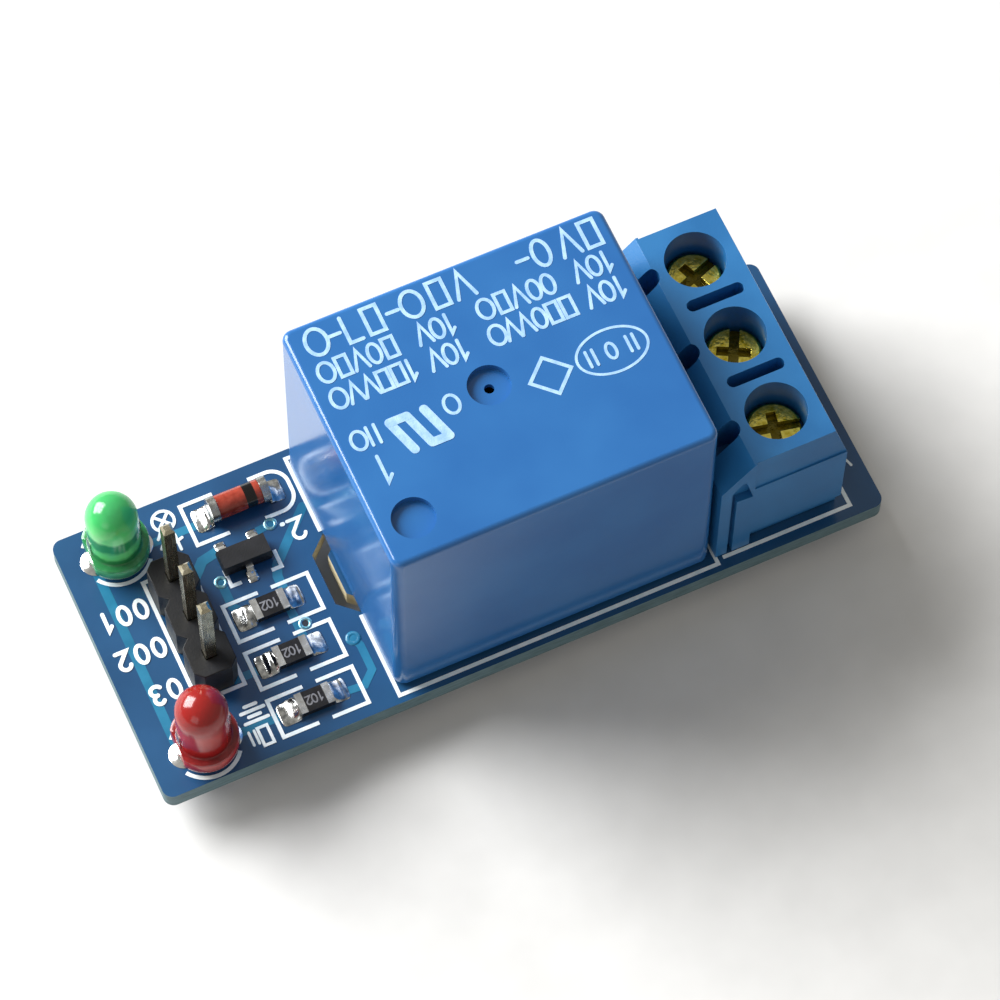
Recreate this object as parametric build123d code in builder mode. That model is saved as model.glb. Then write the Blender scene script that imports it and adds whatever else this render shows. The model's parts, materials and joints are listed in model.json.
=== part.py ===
from build123d import *
from math import radians, tan
import os

# Single relay module board. A blue circuit board carries a sealed relay, a three-way screw terminal
# block, a three-pin header, two indicator lamps and the small parts that drive the relay coil.
#
# Frame: millimetres, +Z up, +X along the board from the lamps to the terminal block, +Y across it.
# The origin lies under the middle of the board, on the plane of the trimmed pin ends that it rests on.

os.makedirs("parts", exist_ok=True)

# Circuit board
board_length = 43.4
board_width = 16.8
board_thickness = 1.2
board_corner = 0.6
lead_drop = 2.0
pad_film = 0.04
hole_sides = 8
ink_film = 0.03
ink_line = 0.22
fit = 0.04
overrun = 1.0

underside = lead_drop
deck = underside + board_thickness

# Relay case
relay_x = 1.85
relay_y = 0.15
case_length = 19.0
case_width = 15.4
case_height = 15.0
case_gap = 0.3
case_draft = 0.35
case_corner = 0.7
case_edge = 0.35
case_wall = 0.8
centre_dimple = (-0.5, 0.15)
corner_dimple_inset = (2.2, 2.4)
dimple_radius = 1.2
dimple_depth = 0.45
vent_radius = 0.28
relay_drill = 1.3
relay_pad = 2.4
relay_pin_width = 1.0
relay_pin_thick = 0.5
coil_pin_size = 0.6

# Relay mechanism: its own sizes, and the clearances that place it inside the case
base_thick = 2.0
base_play = 0.08
foot_size = 1.1
foot_x = 2.6
yoke_clear = 0.7
yoke_short = 0.7
yoke_half = 4.0
yoke_thick = 1.2
yoke_lift = 0.1
head_room = 2.9
core_radius = 2.2
pole_radius = 3.2
pole_thick = 0.7
pole_step = 0.35
bobbin_clear = 0.3
bobbin_side = 0.5
bobbin_flange = 0.8
bobbin_tube = 2.7
winding_inset = 0.4
coil_pin_inset = 1.0
contact_inset = 2.0
contact_room = 2.9
side_pin_inset = 0.9
armature_lift = 0.05
armature_inset = 0.1
armature_short = 1.1
armature_half = 4.2
armature_thick = 1.0
armature_corner = 0.6
spring_thick = 0.2
spring_half = 2.0
spring_neck = 1.1
spring_rim = 0.1
spring_tail = 3.35
spring_tail_gap = 0.15
button_radius = 0.9
button_thick = 0.3
rivet_radius = 0.5
lower_button = 0.35
contact_gap = 0.55
closed_gap = 0.05
blade_thick = 0.4

# Slot milled round the common pin
slot_width = 0.8
slot_back = 2.75
slot_half = 1.45
slot_wing_x = 0.3
slot_wing_y = 3.7

# Screw terminal block, with its profile and the outline of its joining key measured from the screw axis
row_gap = 0.25
terminal_y = 0.05
ways = 3
way_pitch = 5.08
block_height = 10.04
block_gap = 0.1
block_back = 4.35
block_front = 3.27
top_back = 2.45
top_front = 2.4
chamfer_foot = 7.9
shoulder = 7.0
chamber_half = 1.95
chamber_back = 2.6
chamber_front = 2.3
chamber_top = 6.7
ledge = 0.4
head_bore = 3.45
head_diameter = 3.1
head_height = 0.9
shank_diameter = 2.4
shank_play = 0.05
entry_width = 3.2
entry_height = 2.9
entry_sill = 0.8
entry_flare = 0.3
ledge_play = 0.15
divider_length = 3.4
divider_width = 0.7
divider_depth = 2.2
notch_width = 1.1
notch_front = 2.2
notch_depth = 2.9
step_start = 2.3
step_depth = 0.1
toe_height = 1.6
toe_depth = 0.5
groove_depth = 0.45
groove_play = 0.08
key_groove = (
    (-3.68, block_gap),
    (-3.36, block_gap),
    (-3.36, 6.3),
    (-2.38, 6.2),
    (-2.83, 8.15),
    (-3.08, 8.3),
    (-3.68, 7.45),
)
head_chamfer = 0.15
slot_cut = 0.55
cross_length = 1.9
slot_deep = 0.5
screw_turns = (20, 62, -12)
tip_gap = 0.06

# Rising clamp and the contact strip that passes through it
clamp_play = 0.1
clamp_length = 3.0
clamp_foot = 0.6
clamp_side = 0.55
clamp_floor = 0.5
clamp_roof = 1.0
clamp_window = 2.8
tongue_thick = 0.6
tongue_half = 1.1
tongue_reach = 1.9
strip_half = 0.5
clamp_corner = 0.25
strip_back = 2.4
terminal_drill = 1.4
terminal_pad = 2.4

# Three-pin header
header_x = -16.52
header_y = 0.12
pin_pitch = 2.54
header_pins_count = 3
header_width = 2.5
header_height = 2.5
header_gap = 0.1
header_notch = 0.45
pin_size = 0.64
pin_top = 8.62
pin_point = 0.18
point_angle = 40
header_drill = 1.0
header_pad = 1.7

# Indicator lamps
lamp_x = -18.52
lamp_back_inset = 2.07
lamp_front_inset = 2.1
lamp_gap = 0.3
lamp_flange_radius = 1.9
lamp_flange = 1.0
lamp_radius = 1.47
lamp_height = 6.0
lamp_flat = 1.6
lead_pitch = 2.54
lead_size = 0.5
lamp_drill = 0.9
lamp_pad = 1.7
post_foot = 0.6
anode_width = 0.7
anode_height = 2.4
cathode_width = 1.5
cathode_height = 2.0

# Surface-mounted parts
resistor_x = -12.08
resistor_first_y = -0.17
resistor_pitch = 3.1
resistor_count = 3
chip_length = 2.0
chip_width = 1.25
chip_height = 0.5
chip_cap = 0.4
cap_film = 0.05
diode_x = -11.2
diode_y = 6.28
diode_length = 3.5
diode_radius = 0.74
glass_radius = 0.7
end_cap = 0.45
slug_radius = 0.42
die_thick = 0.2
transistor_x = -12.2
transistor_y = 3.1
transistor_length = 2.92
transistor_width = 1.3
transistor_height = 1.0
transistor_draft = 7
leg_pitch = 0.95
leg_width = 0.42
leg_thick = 0.12
leg_span = 2.4
leg_root = 0.2
leg_knee = 0.22
body_lift = 0.06
solder_reach = 0.62
leg_pad_width = 0.6
leg_solder = 0.35
cone_slope = 58
cone_rim = 0.25
sag = 0.35
chip_climb = 0.8

# Printed outlines on the deck: limits of each box, and where its lines are broken
relay_print_back = 0.05
relay_print_front = 0.25
relay_print_break = 2.8
terminal_print_gap = 0.4
terminal_print_front = 0.63
front_print_inset = 0.45
back_print_inset = 0.55
terminal_print_inset = (0.7, 0.6)
header_print_margin = 0.13
resistor_print_x = (-14.45, -9.4)
resistor_print_break = (-12.35, -11.55)
resistor_print_half = 1.17
resistor_print_shift = -0.08
diode_print_x = (-14.24, -8.1)
diode_print_y = (4.94, 7.53)
diode_print_break = (-12.3, -10.15)
diode_print_round = 1.0
transistor_print_x = (-13.5, -10.5)
transistor_print_y = (1.87, 2.95)
transistor_print_foot = 0.6
lamp_print_radius = 1.92
lamp_print_break = 34

# Relay mechanism, measured from the middle of the case and up from the board's top face
cavity_half_x = case_length / 2 - case_wall
cavity_half_y = case_width / 2 - case_wall
corner_dimple = (-case_length / 2 + corner_dimple_inset[0], -case_width / 2 + corner_dimple_inset[1])
yoke_back = -cavity_half_x + yoke_clear
common_pin_x = yoke_back + yoke_thick / 2
contact_pin_x = cavity_half_x - contact_inset
side_pin_y = cavity_half_y - side_pin_inset
bobbin_back = yoke_back + yoke_thick + bobbin_clear
bobbin_front = contact_pin_x - relay_pin_width / 2 - contact_room
bobbin_half_y = cavity_half_y - bobbin_side
coil_pin_x = bobbin_back + coil_pin_inset
core_x = (bobbin_back + bobbin_front) / 2
winding_radius = (bobbin_front - bobbin_back) / 2 - winding_inset
yoke_front = bobbin_front - yoke_short
yoke_top = case_gap + case_height - case_wall - head_room
pole_top = yoke_top - pole_step
armature_back = yoke_back + armature_inset
armature_front = bobbin_front - armature_short
spring_tip = contact_pin_x + button_radius + spring_rim

# The terminal block stands behind the relay, and the lamps stand at the board's edges
terminal_x = relay_x + case_length / 2 + row_gap + block_back
lamp_back_y = board_width / 2 - lamp_back_inset
lamp_front_y = -board_width / 2 + lamp_front_inset

# Where every pin goes through the board
common_spot = (relay_x + common_pin_x, relay_y)
coil_spots = [(relay_x + coil_pin_x, relay_y + side * side_pin_y) for side in (1, -1)]
contact_spots = [(relay_x + contact_pin_x, relay_y + side * side_pin_y) for side in (1, -1)]
way_ys = [terminal_y + (ways - 1 - 2 * n) / 2 * way_pitch for n in range(ways)]
strip_x = terminal_x - strip_back + tongue_thick / 2
strip_spots = [(strip_x, y) for y in way_ys]
header_ys = [header_y + (header_pins_count - 1 - 2 * n) / 2 * pin_pitch for n in range(header_pins_count)]
header_spots = [(header_x, y) for y in header_ys]
lamp_ys = {"green": lamp_back_y, "red": lamp_front_y}
lamp_spots = [(lamp_x + side * lead_pitch / 2, y) for y in lamp_ys.values() for side in (-1, 1)]
resistor_ys = [resistor_first_y - n * resistor_pitch for n in range(resistor_count)]

# Pins that share a hole size: spots, drill, pad, and the pin's own two widths
pin_groups = (
    ([common_spot], relay_drill, relay_pad, relay_pin_thick, relay_pin_width),
    (contact_spots, relay_drill, relay_pad, relay_pin_width, relay_pin_thick),
    (coil_spots, relay_drill, relay_pad, coil_pin_size, coil_pin_size),
    (strip_spots, terminal_drill, terminal_pad, tongue_thick, 2 * strip_half),
    (header_spots, header_drill, header_pad, pin_size, pin_size),
    (lamp_spots, lamp_drill, lamp_pad, lead_size, lead_size),
)


def keep(part, name):
    """Labels a finished piece and writes it to its own file."""
    part.label = name
    export_step(part, f"parts/{name}.step")


# Laminate board with its drilled holes and the slot round the common pin
with BuildPart() as circuit_board:
    with BuildSketch(Plane.XY.offset(underside)):
        RectangleRounded(board_length, board_width, board_corner)
    extrude(amount=board_thickness)
    with BuildSketch(Plane.XY.offset(deck)):
        for spots, drill, pad, pin_x, pin_y in pin_groups:
            with Locations(*spots):
                RegularPolygon(drill / 2, hole_sides)
    extrude(amount=-board_thickness, mode=Mode.SUBTRACT)
    slot_x = common_spot[0] - slot_back
    slot_ends = [(common_spot[0] - slot_wing_x, relay_y + side * slot_wing_y) for side in (1, -1)]
    with BuildSketch(Plane.XY.offset(deck)):
        with BuildLine():
            Polyline(
                slot_ends[0],
                (slot_x, relay_y + slot_half),
                (slot_x, relay_y - slot_half),
                slot_ends[1],
            )
        trace(line_width=slot_width)
        with Locations(*slot_ends):
            Circle(slot_width / 2)
    extrude(amount=-board_thickness, mode=Mode.SUBTRACT)

keep(circuit_board.part, "circuit_board")


def slab(plane, x_limits, y_limits, amount, mode=Mode.ADD):
    """Extrudes a rectangle, given by its limits along the plane's own axes, in the open part."""
    with BuildSketch(plane) as outline:
        with Locations((sum(x_limits) / 2, sum(y_limits) / 2)):
            Rectangle(x_limits[1] - x_limits[0], y_limits[1] - y_limits[0])
    extrude(outline.sketch, amount=amount, mode=mode)


def plate(plane, corners, amount, mode=Mode.ADD):
    """Extrudes the closed outline through the corners, in the open part."""
    with BuildSketch(plane) as outline:
        with BuildLine():
            Polyline(*corners, close=True)
        make_face()
    extrude(outline.sketch, amount=amount, mode=mode)


# Relay: planes that lie on the board under the middle of the case, level and upright
relay_floor = Plane((relay_x, relay_y, deck))
case_floor = relay_floor.offset(case_gap)
case_top = case_floor.offset(case_height)
cavity_height = case_height - case_wall
pin_foot = -(board_thickness + lead_drop)

# Moulded cover: a drafted box with rounded edges, open underneath, with two dimples and a vent
with BuildPart() as relay_cover:
    with BuildSketch(case_floor):
        RectangleRounded(case_length, case_width, case_corner)
    extrude(amount=case_height, taper=case_draft)
    fillet(relay_cover.faces().sort_by(Axis.Z)[-1].edges(), case_edge)
    with BuildSketch(case_floor):
        Rectangle(case_length - 2 * case_wall, case_width - 2 * case_wall)
    extrude(amount=cavity_height, taper=case_draft, mode=Mode.SUBTRACT)
    with BuildSketch(case_top):
        with Locations(centre_dimple, corner_dimple):
            Circle(dimple_radius)
    extrude(amount=-dimple_depth, mode=Mode.SUBTRACT)
    with BuildSketch(case_top):
        with Locations(centre_dimple):
            Circle(vent_radius)
    extrude(amount=-case_wall, mode=Mode.SUBTRACT)

keep(relay_cover.part, "relay_cover")


# Base plate that closes the cover, with four feet and a passage for each pin
base_length = case_length - 2 * case_wall - 2 * base_play
base_width = case_width - 2 * case_wall - 2 * base_play
with BuildPart() as relay_base:
    with BuildSketch(case_floor):
        Rectangle(base_length, base_width)
    extrude(amount=base_thick, taper=case_draft)
    with BuildSketch(relay_floor):
        with GridLocations(2 * foot_x, 2 * side_pin_y, 2, 2):
            Rectangle(foot_size, foot_size)
    extrude(amount=case_gap)
    with BuildSketch(case_floor):
        with Locations((common_pin_x, 0)):
            Rectangle(relay_pin_thick + 2 * fit, relay_pin_width + 2 * fit)
        with Locations((coil_pin_x, side_pin_y), (coil_pin_x, -side_pin_y)):
            Rectangle(coil_pin_size + 2 * fit, coil_pin_size + 2 * fit)
        with Locations((contact_pin_x, side_pin_y), (contact_pin_x, -side_pin_y)):
            Rectangle(relay_pin_width + 2 * fit, relay_pin_thick + 2 * fit)
    extrude(amount=base_thick, mode=Mode.SUBTRACT)

keep(relay_base.part, "relay_base")


# L-shaped iron yoke: a foot under the coil and an upright that the armature rocks on
yoke_foot = case_gap + base_thick + yoke_lift
with BuildPart() as relay_yoke:
    slab(relay_floor.offset(yoke_foot), (yoke_back, yoke_front), (-yoke_half, yoke_half), yoke_thick)
    slab(
        relay_floor.offset(yoke_foot),
        (yoke_back, yoke_back + yoke_thick),
        (-yoke_half, yoke_half),
        yoke_top - yoke_foot,
    )
    with BuildSketch(relay_floor.offset(yoke_foot)):
        with Locations((core_x, 0)):
            Circle(core_radius)
    extrude(amount=yoke_thick, mode=Mode.SUBTRACT)

keep(relay_yoke.part, "relay_yoke")


# Common pin, standing under the yoke
with BuildPart() as common_pin:
    slab(
        relay_floor.offset(pin_foot),
        (common_pin_x - relay_pin_thick / 2, common_pin_x + relay_pin_thick / 2),
        (-relay_pin_width / 2, relay_pin_width / 2),
        yoke_foot - pin_foot,
    )

keep(common_pin.part, "common_pin")


# Iron core with its round pole face
core_height = pole_top - yoke_foot
with BuildPart() as coil_core:
    with BuildSketch(relay_floor.offset(yoke_foot)):
        with Locations((core_x, 0)):
            Circle(core_radius)
    extrude(amount=core_height)
    with BuildSketch(relay_floor.offset(pole_top)):
        with Locations((core_x, 0)):
            Circle(pole_radius)
    extrude(amount=-pole_thick)

keep(coil_core.part, "coil_core")


# Bobbin: two flanges on a tube, standing on the yoke's foot
bobbin_foot = yoke_foot + yoke_thick
bobbin_height = pole_top - pole_thick - bobbin_foot
with BuildPart() as coil_bobbin:
    for level in (bobbin_foot, bobbin_foot + bobbin_height - bobbin_flange):
        slab(
            relay_floor.offset(level),
            (bobbin_back, bobbin_front),
            (-bobbin_half_y, bobbin_half_y),
            bobbin_flange,
        )
    with BuildSketch(relay_floor.offset(bobbin_foot)):
        with Locations((core_x, 0)):
            Circle(bobbin_tube)
    extrude(amount=bobbin_height)
    with BuildSketch(relay_floor.offset(bobbin_foot)):
        with Locations((core_x, 0)):
            Circle(core_radius + fit)
    extrude(amount=bobbin_height, mode=Mode.SUBTRACT)

keep(coil_bobbin.part, "coil_bobbin")


# Copper winding, filling the bobbin between its flanges
with BuildPart() as coil_winding:
    with BuildSketch(relay_floor.offset(bobbin_foot + bobbin_flange)):
        with Locations((core_x, 0)):
            Circle(winding_radius)
            Circle(bobbin_tube, mode=Mode.SUBTRACT)
    extrude(amount=bobbin_height - 2 * bobbin_flange)

keep(coil_winding.part, "coil_winding")


# Two square coil pins, standing under the bobbin
with BuildPart() as coil_pins:
    with BuildSketch(relay_floor.offset(pin_foot)):
        with Locations((coil_pin_x, side_pin_y), (coil_pin_x, -side_pin_y)):
            Rectangle(coil_pin_size, coil_pin_size)
    extrude(amount=bobbin_foot - pin_foot)

keep(coil_pins.part, "coil_pins")


# Armature: a flat iron plate that rocks on the top of the yoke
armature_foot = yoke_top + armature_lift
with BuildPart() as relay_armature:
    with BuildSketch(relay_floor.offset(armature_foot)):
        with Locations(((armature_back + armature_front) / 2, 0)):
            RectangleRounded(armature_front - armature_back, 2 * armature_half, armature_corner)
    extrude(amount=armature_thick)

keep(relay_armature.part, "relay_armature")


# Contact spring: riveted along the armature, with a tail bent down behind the yoke
spring_foot = armature_foot + armature_thick
spring_back = yoke_back - spring_tail_gap - spring_thick
with BuildPart() as contact_spring:
    plate(
        relay_floor.offset(spring_foot),
        (
            (spring_back, -spring_half),
            (armature_front, -spring_half),
            (armature_front + spring_half, -spring_neck),
            (spring_tip, -spring_neck),
            (spring_tip, spring_neck),
            (armature_front + spring_half, spring_neck),
            (armature_front, spring_half),
            (spring_back, spring_half),
        ),
        spring_thick,
    )
    slab(
        relay_floor.offset(spring_foot + spring_thick - spring_tail),
        (spring_back, spring_back + spring_thick),
        (-spring_half, spring_half),
        spring_tail,
    )
    with BuildSketch(relay_floor.offset(spring_foot)):
        with Locations((contact_pin_x, 0)):
            Circle(rivet_radius)
    extrude(amount=spring_thick, mode=Mode.SUBTRACT)

keep(contact_spring.part, "contact_spring")


# Moving contact: a silver rivet with a button on each side of the spring
with BuildPart() as moving_contact:
    with BuildSketch(relay_floor.offset(spring_foot - lower_button)):
        with Locations((contact_pin_x, 0)):
            Circle(button_radius)
    extrude(amount=lower_button)
    with BuildSketch(relay_floor.offset(spring_foot)):
        with Locations((contact_pin_x, 0)):
            Circle(rivet_radius)
    extrude(amount=spring_thick)
    with BuildSketch(relay_floor.offset(spring_foot + spring_thick)):
        with Locations((contact_pin_x, 0)):
            Circle(button_radius)
    extrude(amount=button_thick)

keep(moving_contact.part, "moving_contact")


def fixed_contact(side, blade_level, button_side, name):
    """A contact blade: a pin and upright at one side, a tongue across to the middle, and its button."""
    x_limits = (contact_pin_x - relay_pin_width / 2, contact_pin_x + relay_pin_width / 2)
    pin_y = side * side_pin_y
    outer_y = pin_y + side * relay_pin_thick / 2
    inner_y = pin_y - side * relay_pin_thick / 2
    with BuildPart() as blade:
        slab(
            relay_floor.offset(pin_foot),
            x_limits,
            (min(inner_y, outer_y), max(inner_y, outer_y)),
            blade_level + blade_thick - pin_foot,
        )
        reach_y = -side * button_radius
        slab(
            relay_floor.offset(blade_level),
            x_limits,
            (min(outer_y, reach_y), max(outer_y, reach_y)),
            blade_thick,
        )
    keep(blade.part, name + "_blade")
    face = blade_level + (blade_thick if button_side > 0 else 0)
    with BuildPart() as button:
        with BuildSketch(relay_floor.offset(face)):
            with Locations((contact_pin_x, 0)):
                Circle(button_radius)
        extrude(amount=button_side * button_thick)
    keep(button.part, name + "_button")


closed_level = spring_foot + spring_thick + button_thick + closed_gap + button_thick
open_level = spring_foot - lower_button - contact_gap - button_thick - blade_thick
fixed_contact(1, closed_level, -1, "closed_contact")
fixed_contact(-1, open_level, 1, "open_contact")


# Terminal block: planes that lie on the board under the middle screw
block_floor = Plane((terminal_x, terminal_y, deck))
block_top = block_floor.offset(block_height)
block_length = ways * way_pitch
way_offsets = [y - terminal_y for y in way_ys]
block_ends = {side: side * block_length / 2 for side in (1, -1)}


def side_plane(x, y, z):
    """An upright plane through the point, whose own axes are the frame's +X and +Z and that faces -Y."""
    return Plane(origin=(x, y, z), x_dir=(1, 0, 0), z_dir=(0, -1, 0))


back_face = side_plane(terminal_x, terminal_y + block_ends[1], deck)
front_face = side_plane(terminal_x, terminal_y + block_ends[-1], deck)

# Terminal housing: a chamfered profile with screw bores, clamp chambers and wire entries
with BuildPart() as terminal_housing:
    plate(
        back_face,
        (
            (-block_back, block_gap),
            (block_front, block_gap),
            (block_front, shoulder),
            (top_front, block_height),
            (-top_back, block_height),
            (-block_back, chamfer_foot),
        ),
        block_length,
    )
    # Screw bores from the top, and the smaller holes in the ledge that the heads rest on
    with BuildSketch(block_top):
        with Locations(*[(0, y) for y in way_offsets]):
            Circle(head_bore / 2)
    extrude(amount=-(block_height - chamber_top - ledge), mode=Mode.SUBTRACT)
    with BuildSketch(block_top):
        with Locations(*[(0, y) for y in way_offsets]):
            Circle(shank_diameter / 2 + ledge_play)
    extrude(amount=-(block_height - chamber_top), mode=Mode.SUBTRACT)
    # Narrow slots between the ways, and half-round notches in the chamfer behind them
    with BuildSketch(block_top):
        with Locations(*[(0, y - way_pitch / 2) for y in way_offsets[:-1]]):
            SlotOverall(divider_length, divider_width)
    extrude(amount=-divider_depth, mode=Mode.SUBTRACT)
    with BuildSketch(block_top):
        with Locations(*[(-block_back, y) for y in way_offsets]):
            SlotOverall(2 * (block_back - notch_front), notch_width)
    extrude(amount=-notch_depth, mode=Mode.SUBTRACT)
    # Chambers for the clamps, open below, and the wire entries with their lead-in
    for y in way_offsets:
        slab(
            block_floor,
            (-chamber_back, chamber_front),
            (y - chamber_half, y + chamber_half),
            chamber_top,
            Mode.SUBTRACT,
        )
        entry = Plane(
            origin=(terminal_x + block_front, terminal_y + y, deck + entry_sill + entry_height / 2),
            x_dir=(0, 1, 0),
            z_dir=(1, 0, 0),
        )
        with BuildSketch(entry):
            Rectangle(entry_width, entry_height)
        extrude(amount=-(block_front - chamber_front), mode=Mode.SUBTRACT)
        with BuildSketch(entry):
            Rectangle(entry_width + 2 * entry_flare, entry_height + 2 * entry_flare)
        extrude(amount=-entry_flare, taper=45, mode=Mode.SUBTRACT)
    # Both ends: a shallow step under the shoulder, a toe recess, and the key that joins blocks
    for side, end in block_ends.items():
        inward = (end - side * step_depth, end + side * step_depth)
        slab(
            block_floor.offset(shoulder),
            (-step_start, block_front + overrun),
            (min(inward), max(inward)),
            block_height - shoulder + overrun,
            Mode.SUBTRACT,
        )
        inward = (end - side * toe_depth, end + side * toe_depth)
        slab(
            block_floor,
            (-step_start, block_front + overrun),
            (min(inward), max(inward)),
            toe_height,
            Mode.SUBTRACT,
        )
    plate(front_face, key_groove, -groove_depth, Mode.SUBTRACT)
    with BuildSketch(back_face) as key:
        with BuildLine():
            Polyline(*key_groove, close=True)
        make_face()
        offset(amount=-groove_play, kind=Kind.INTERSECTION, mode=Mode.REPLACE)
    extrude(key.sketch, amount=-(groove_depth - groove_play))

keep(terminal_housing.part, "terminal_housing")


# One way of the terminal: its screw, its rising clamp and its contact strip
head_foot = chamber_top + ledge
tongue_foot = clamp_foot + clamp_window + clamp_floor - tongue_thick - clamp_play
clamp_half = chamber_half - clamp_play
roof_foot = clamp_foot + clamp_floor + clamp_window

for number, (y, turn) in enumerate(zip(way_offsets, screw_turns), start=1):
    axis_floor = Plane((terminal_x, terminal_y + y, deck))
    with BuildPart() as screw:
        with BuildSketch(axis_floor.offset(head_foot)):
            Circle(head_diameter / 2)
        extrude(amount=head_height)
        chamfer(screw.faces().sort_by(Axis.Z)[-1].edges(), head_chamfer)
        with BuildSketch(axis_floor.offset(head_foot + head_height)):
            with Locations(Rotation(0, 0, turn)):
                Rectangle(head_diameter, slot_cut)
                Rectangle(slot_cut, cross_length)
        extrude(amount=-slot_deep, mode=Mode.SUBTRACT)
        with BuildSketch(axis_floor.offset(head_foot)):
            Circle(shank_diameter / 2)
        extrude(amount=-(head_foot - tongue_foot - tongue_thick - tip_gap))
    keep(screw.part, f"clamp_screw_{number}")

    with BuildPart() as clamp:
        slab(
            axis_floor.offset(clamp_foot),
            (-clamp_length / 2, clamp_length / 2),
            (-clamp_half, clamp_half),
            clamp_floor + clamp_window + clamp_roof,
        )
        chamfer(clamp.edges().filter_by(Axis.X), clamp_corner)
        slab(
            axis_floor.offset(clamp_foot + clamp_floor),
            (-clamp_length / 2, clamp_length / 2),
            (-clamp_half + clamp_side, clamp_half - clamp_side),
            clamp_window,
            Mode.SUBTRACT,
        )
        with BuildSketch(axis_floor.offset(roof_foot)):
            Circle(shank_diameter / 2 + shank_play)
        extrude(amount=clamp_roof, mode=Mode.SUBTRACT)
    keep(clamp.part, f"wire_clamp_{number}")

    with BuildPart() as strip:
        slab(
            axis_floor.offset(pin_foot),
            (-strip_back, -strip_back + tongue_thick),
            (-strip_half, strip_half),
            tongue_foot + tongue_thick - pin_foot,
        )
        slab(
            axis_floor.offset(tongue_foot),
            (-strip_back, tongue_reach),
            (-tongue_half, tongue_half),
            tongue_thick,
        )
    keep(strip.part, f"terminal_strip_{number}")


# Header pins: square, with a small point at each end
with BuildPart() as header_pins:
    with BuildSketch(Plane.XY.offset(pin_point)):
        with Locations(*header_spots):
            Rectangle(pin_size, pin_size)
    extrude(amount=deck + pin_top - 2 * pin_point)
    with BuildSketch(Plane.XY.offset(deck + pin_top - pin_point)):
        with Locations(*header_spots):
            Rectangle(pin_size, pin_size)
    extrude(amount=pin_point, taper=point_angle)
    with BuildSketch(Plane.XY.offset(pin_point)):
        with Locations(*header_spots):
            Rectangle(pin_size, pin_size)
    extrude(amount=-pin_point, taper=point_angle)

keep(header_pins.part, "header_pins")


# Header body: one notched block to each pin, moulded as one
with BuildPart() as header_body:
    for spot in header_spots:
        with BuildSketch(Plane((*spot, deck + header_gap))) as segment:
            Rectangle(header_width, pin_pitch)
            chamfer(segment.vertices(), header_notch)
        extrude(amount=header_height)
    with BuildSketch(Plane.XY.offset(deck + header_gap)):
        with Locations(*header_spots):
            Rectangle(pin_size, pin_size)
    extrude(amount=header_height, mode=Mode.SUBTRACT)

keep(header_body.part, "header_body")


def lamp(colour, y):
    """A round lamp: the lens with its flange and flat, and the two leads cast into it."""
    seat = deck + lamp_gap
    leads = {}
    for name, side, post_width, post_height in (
        ("anode", 1, anode_width, anode_height),
        ("cathode", -1, cathode_width, cathode_height),
    ):
        lead_x = side * lead_pitch / 2
        inner_x = side * (lead_pitch / 2 + lead_size / 2 - post_width)
        outer_x = side * (lead_pitch / 2 + lead_size / 2)
        with BuildPart() as lead:
            with BuildSketch(Plane((lamp_x + lead_x, y, 0))):
                Rectangle(lead_size, lead_size)
            extrude(amount=seat + post_foot)
            slab(
                Plane((lamp_x, y, seat + post_foot)),
                (min(inner_x, outer_x), max(inner_x, outer_x)),
                (-lead_size / 2, lead_size / 2),
                post_height,
            )
        keep(lead.part, f"{colour}_lamp_{name}")
        leads[name] = lead.part
    with BuildPart() as lens:
        with BuildSketch(side_plane(lamp_x, y, seat)):
            with BuildLine():
                Polyline(
                    (0, lamp_height),
                    (0, 0),
                    (lamp_flange_radius, 0),
                    (lamp_flange_radius, lamp_flange),
                    (lamp_radius, lamp_flange),
                    (lamp_radius, lamp_height - lamp_radius),
                )
                RadiusArc((lamp_radius, lamp_height - lamp_radius), (0, lamp_height), -lamp_radius)
            make_face()
        revolve(axis=Axis((lamp_x, y, 0), (0, 0, 1)))
        slab(
            Plane((lamp_x, y, seat)),
            (-lamp_flange_radius - overrun, -lamp_flat),
            (-lamp_flange_radius, lamp_flange_radius),
            lamp_flange,
            Mode.SUBTRACT,
        )
        add(list(leads.values()), mode=Mode.SUBTRACT)
    keep(lens.part, f"{colour}_lamp_lens")


for colour, y in lamp_ys.items():
    lamp(colour, y)


# Chip resistors: a ceramic chip and the two folded end caps
chip_foot = deck + pad_film
for number, y in enumerate(resistor_ys, start=1):
    chip_core = chip_length - 2 * cap_film
    chip_face = side_plane(resistor_x, y + chip_width / 2, chip_foot)
    with BuildPart() as chip:
        plate(
            chip_face,
            (
                (-chip_core / 2, cap_film),
                (chip_core / 2, cap_film),
                (chip_core / 2, chip_height - cap_film),
                (-chip_core / 2, chip_height - cap_film),
            ),
            chip_width,
        )
    keep(chip.part, f"resistor_{number}_chip")
    with BuildPart() as caps:
        for side in (-1, 1):
            inner = side * (chip_length / 2 - chip_cap)
            outer = side * chip_length / 2
            slab(
                chip_face,
                (min(inner, outer), max(inner, outer)),
                (0, chip_height),
                chip_width,
            )
        add(chip.part, mode=Mode.SUBTRACT)
    keep(caps.part, f"resistor_{number}_caps")


# Glass diode: a tube between two metal end caps, with two plugs and the die between them
diode_level = deck + pad_film + diode_radius
glass_length = diode_length - 2 * end_cap
plug_length = (glass_length - die_thick) / 2


def along_diode(x):
    """The upright plane across the diode at x, measured from its middle, facing +X."""
    return Plane(origin=(diode_x + x, diode_y, diode_level), x_dir=(0, 1, 0), z_dir=(1, 0, 0))


with BuildPart() as diode_glass:
    with BuildSketch(along_diode(-glass_length / 2)):
        Circle(glass_radius)
        Circle(slug_radius, mode=Mode.SUBTRACT)
    extrude(amount=glass_length)

keep(diode_glass.part, "diode_glass")

with BuildPart() as diode_plugs:
    with BuildSketch(along_diode(-glass_length / 2), along_diode(die_thick / 2)):
        Circle(slug_radius)
    extrude(amount=plug_length)

keep(diode_plugs.part, "diode_plugs")

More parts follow.
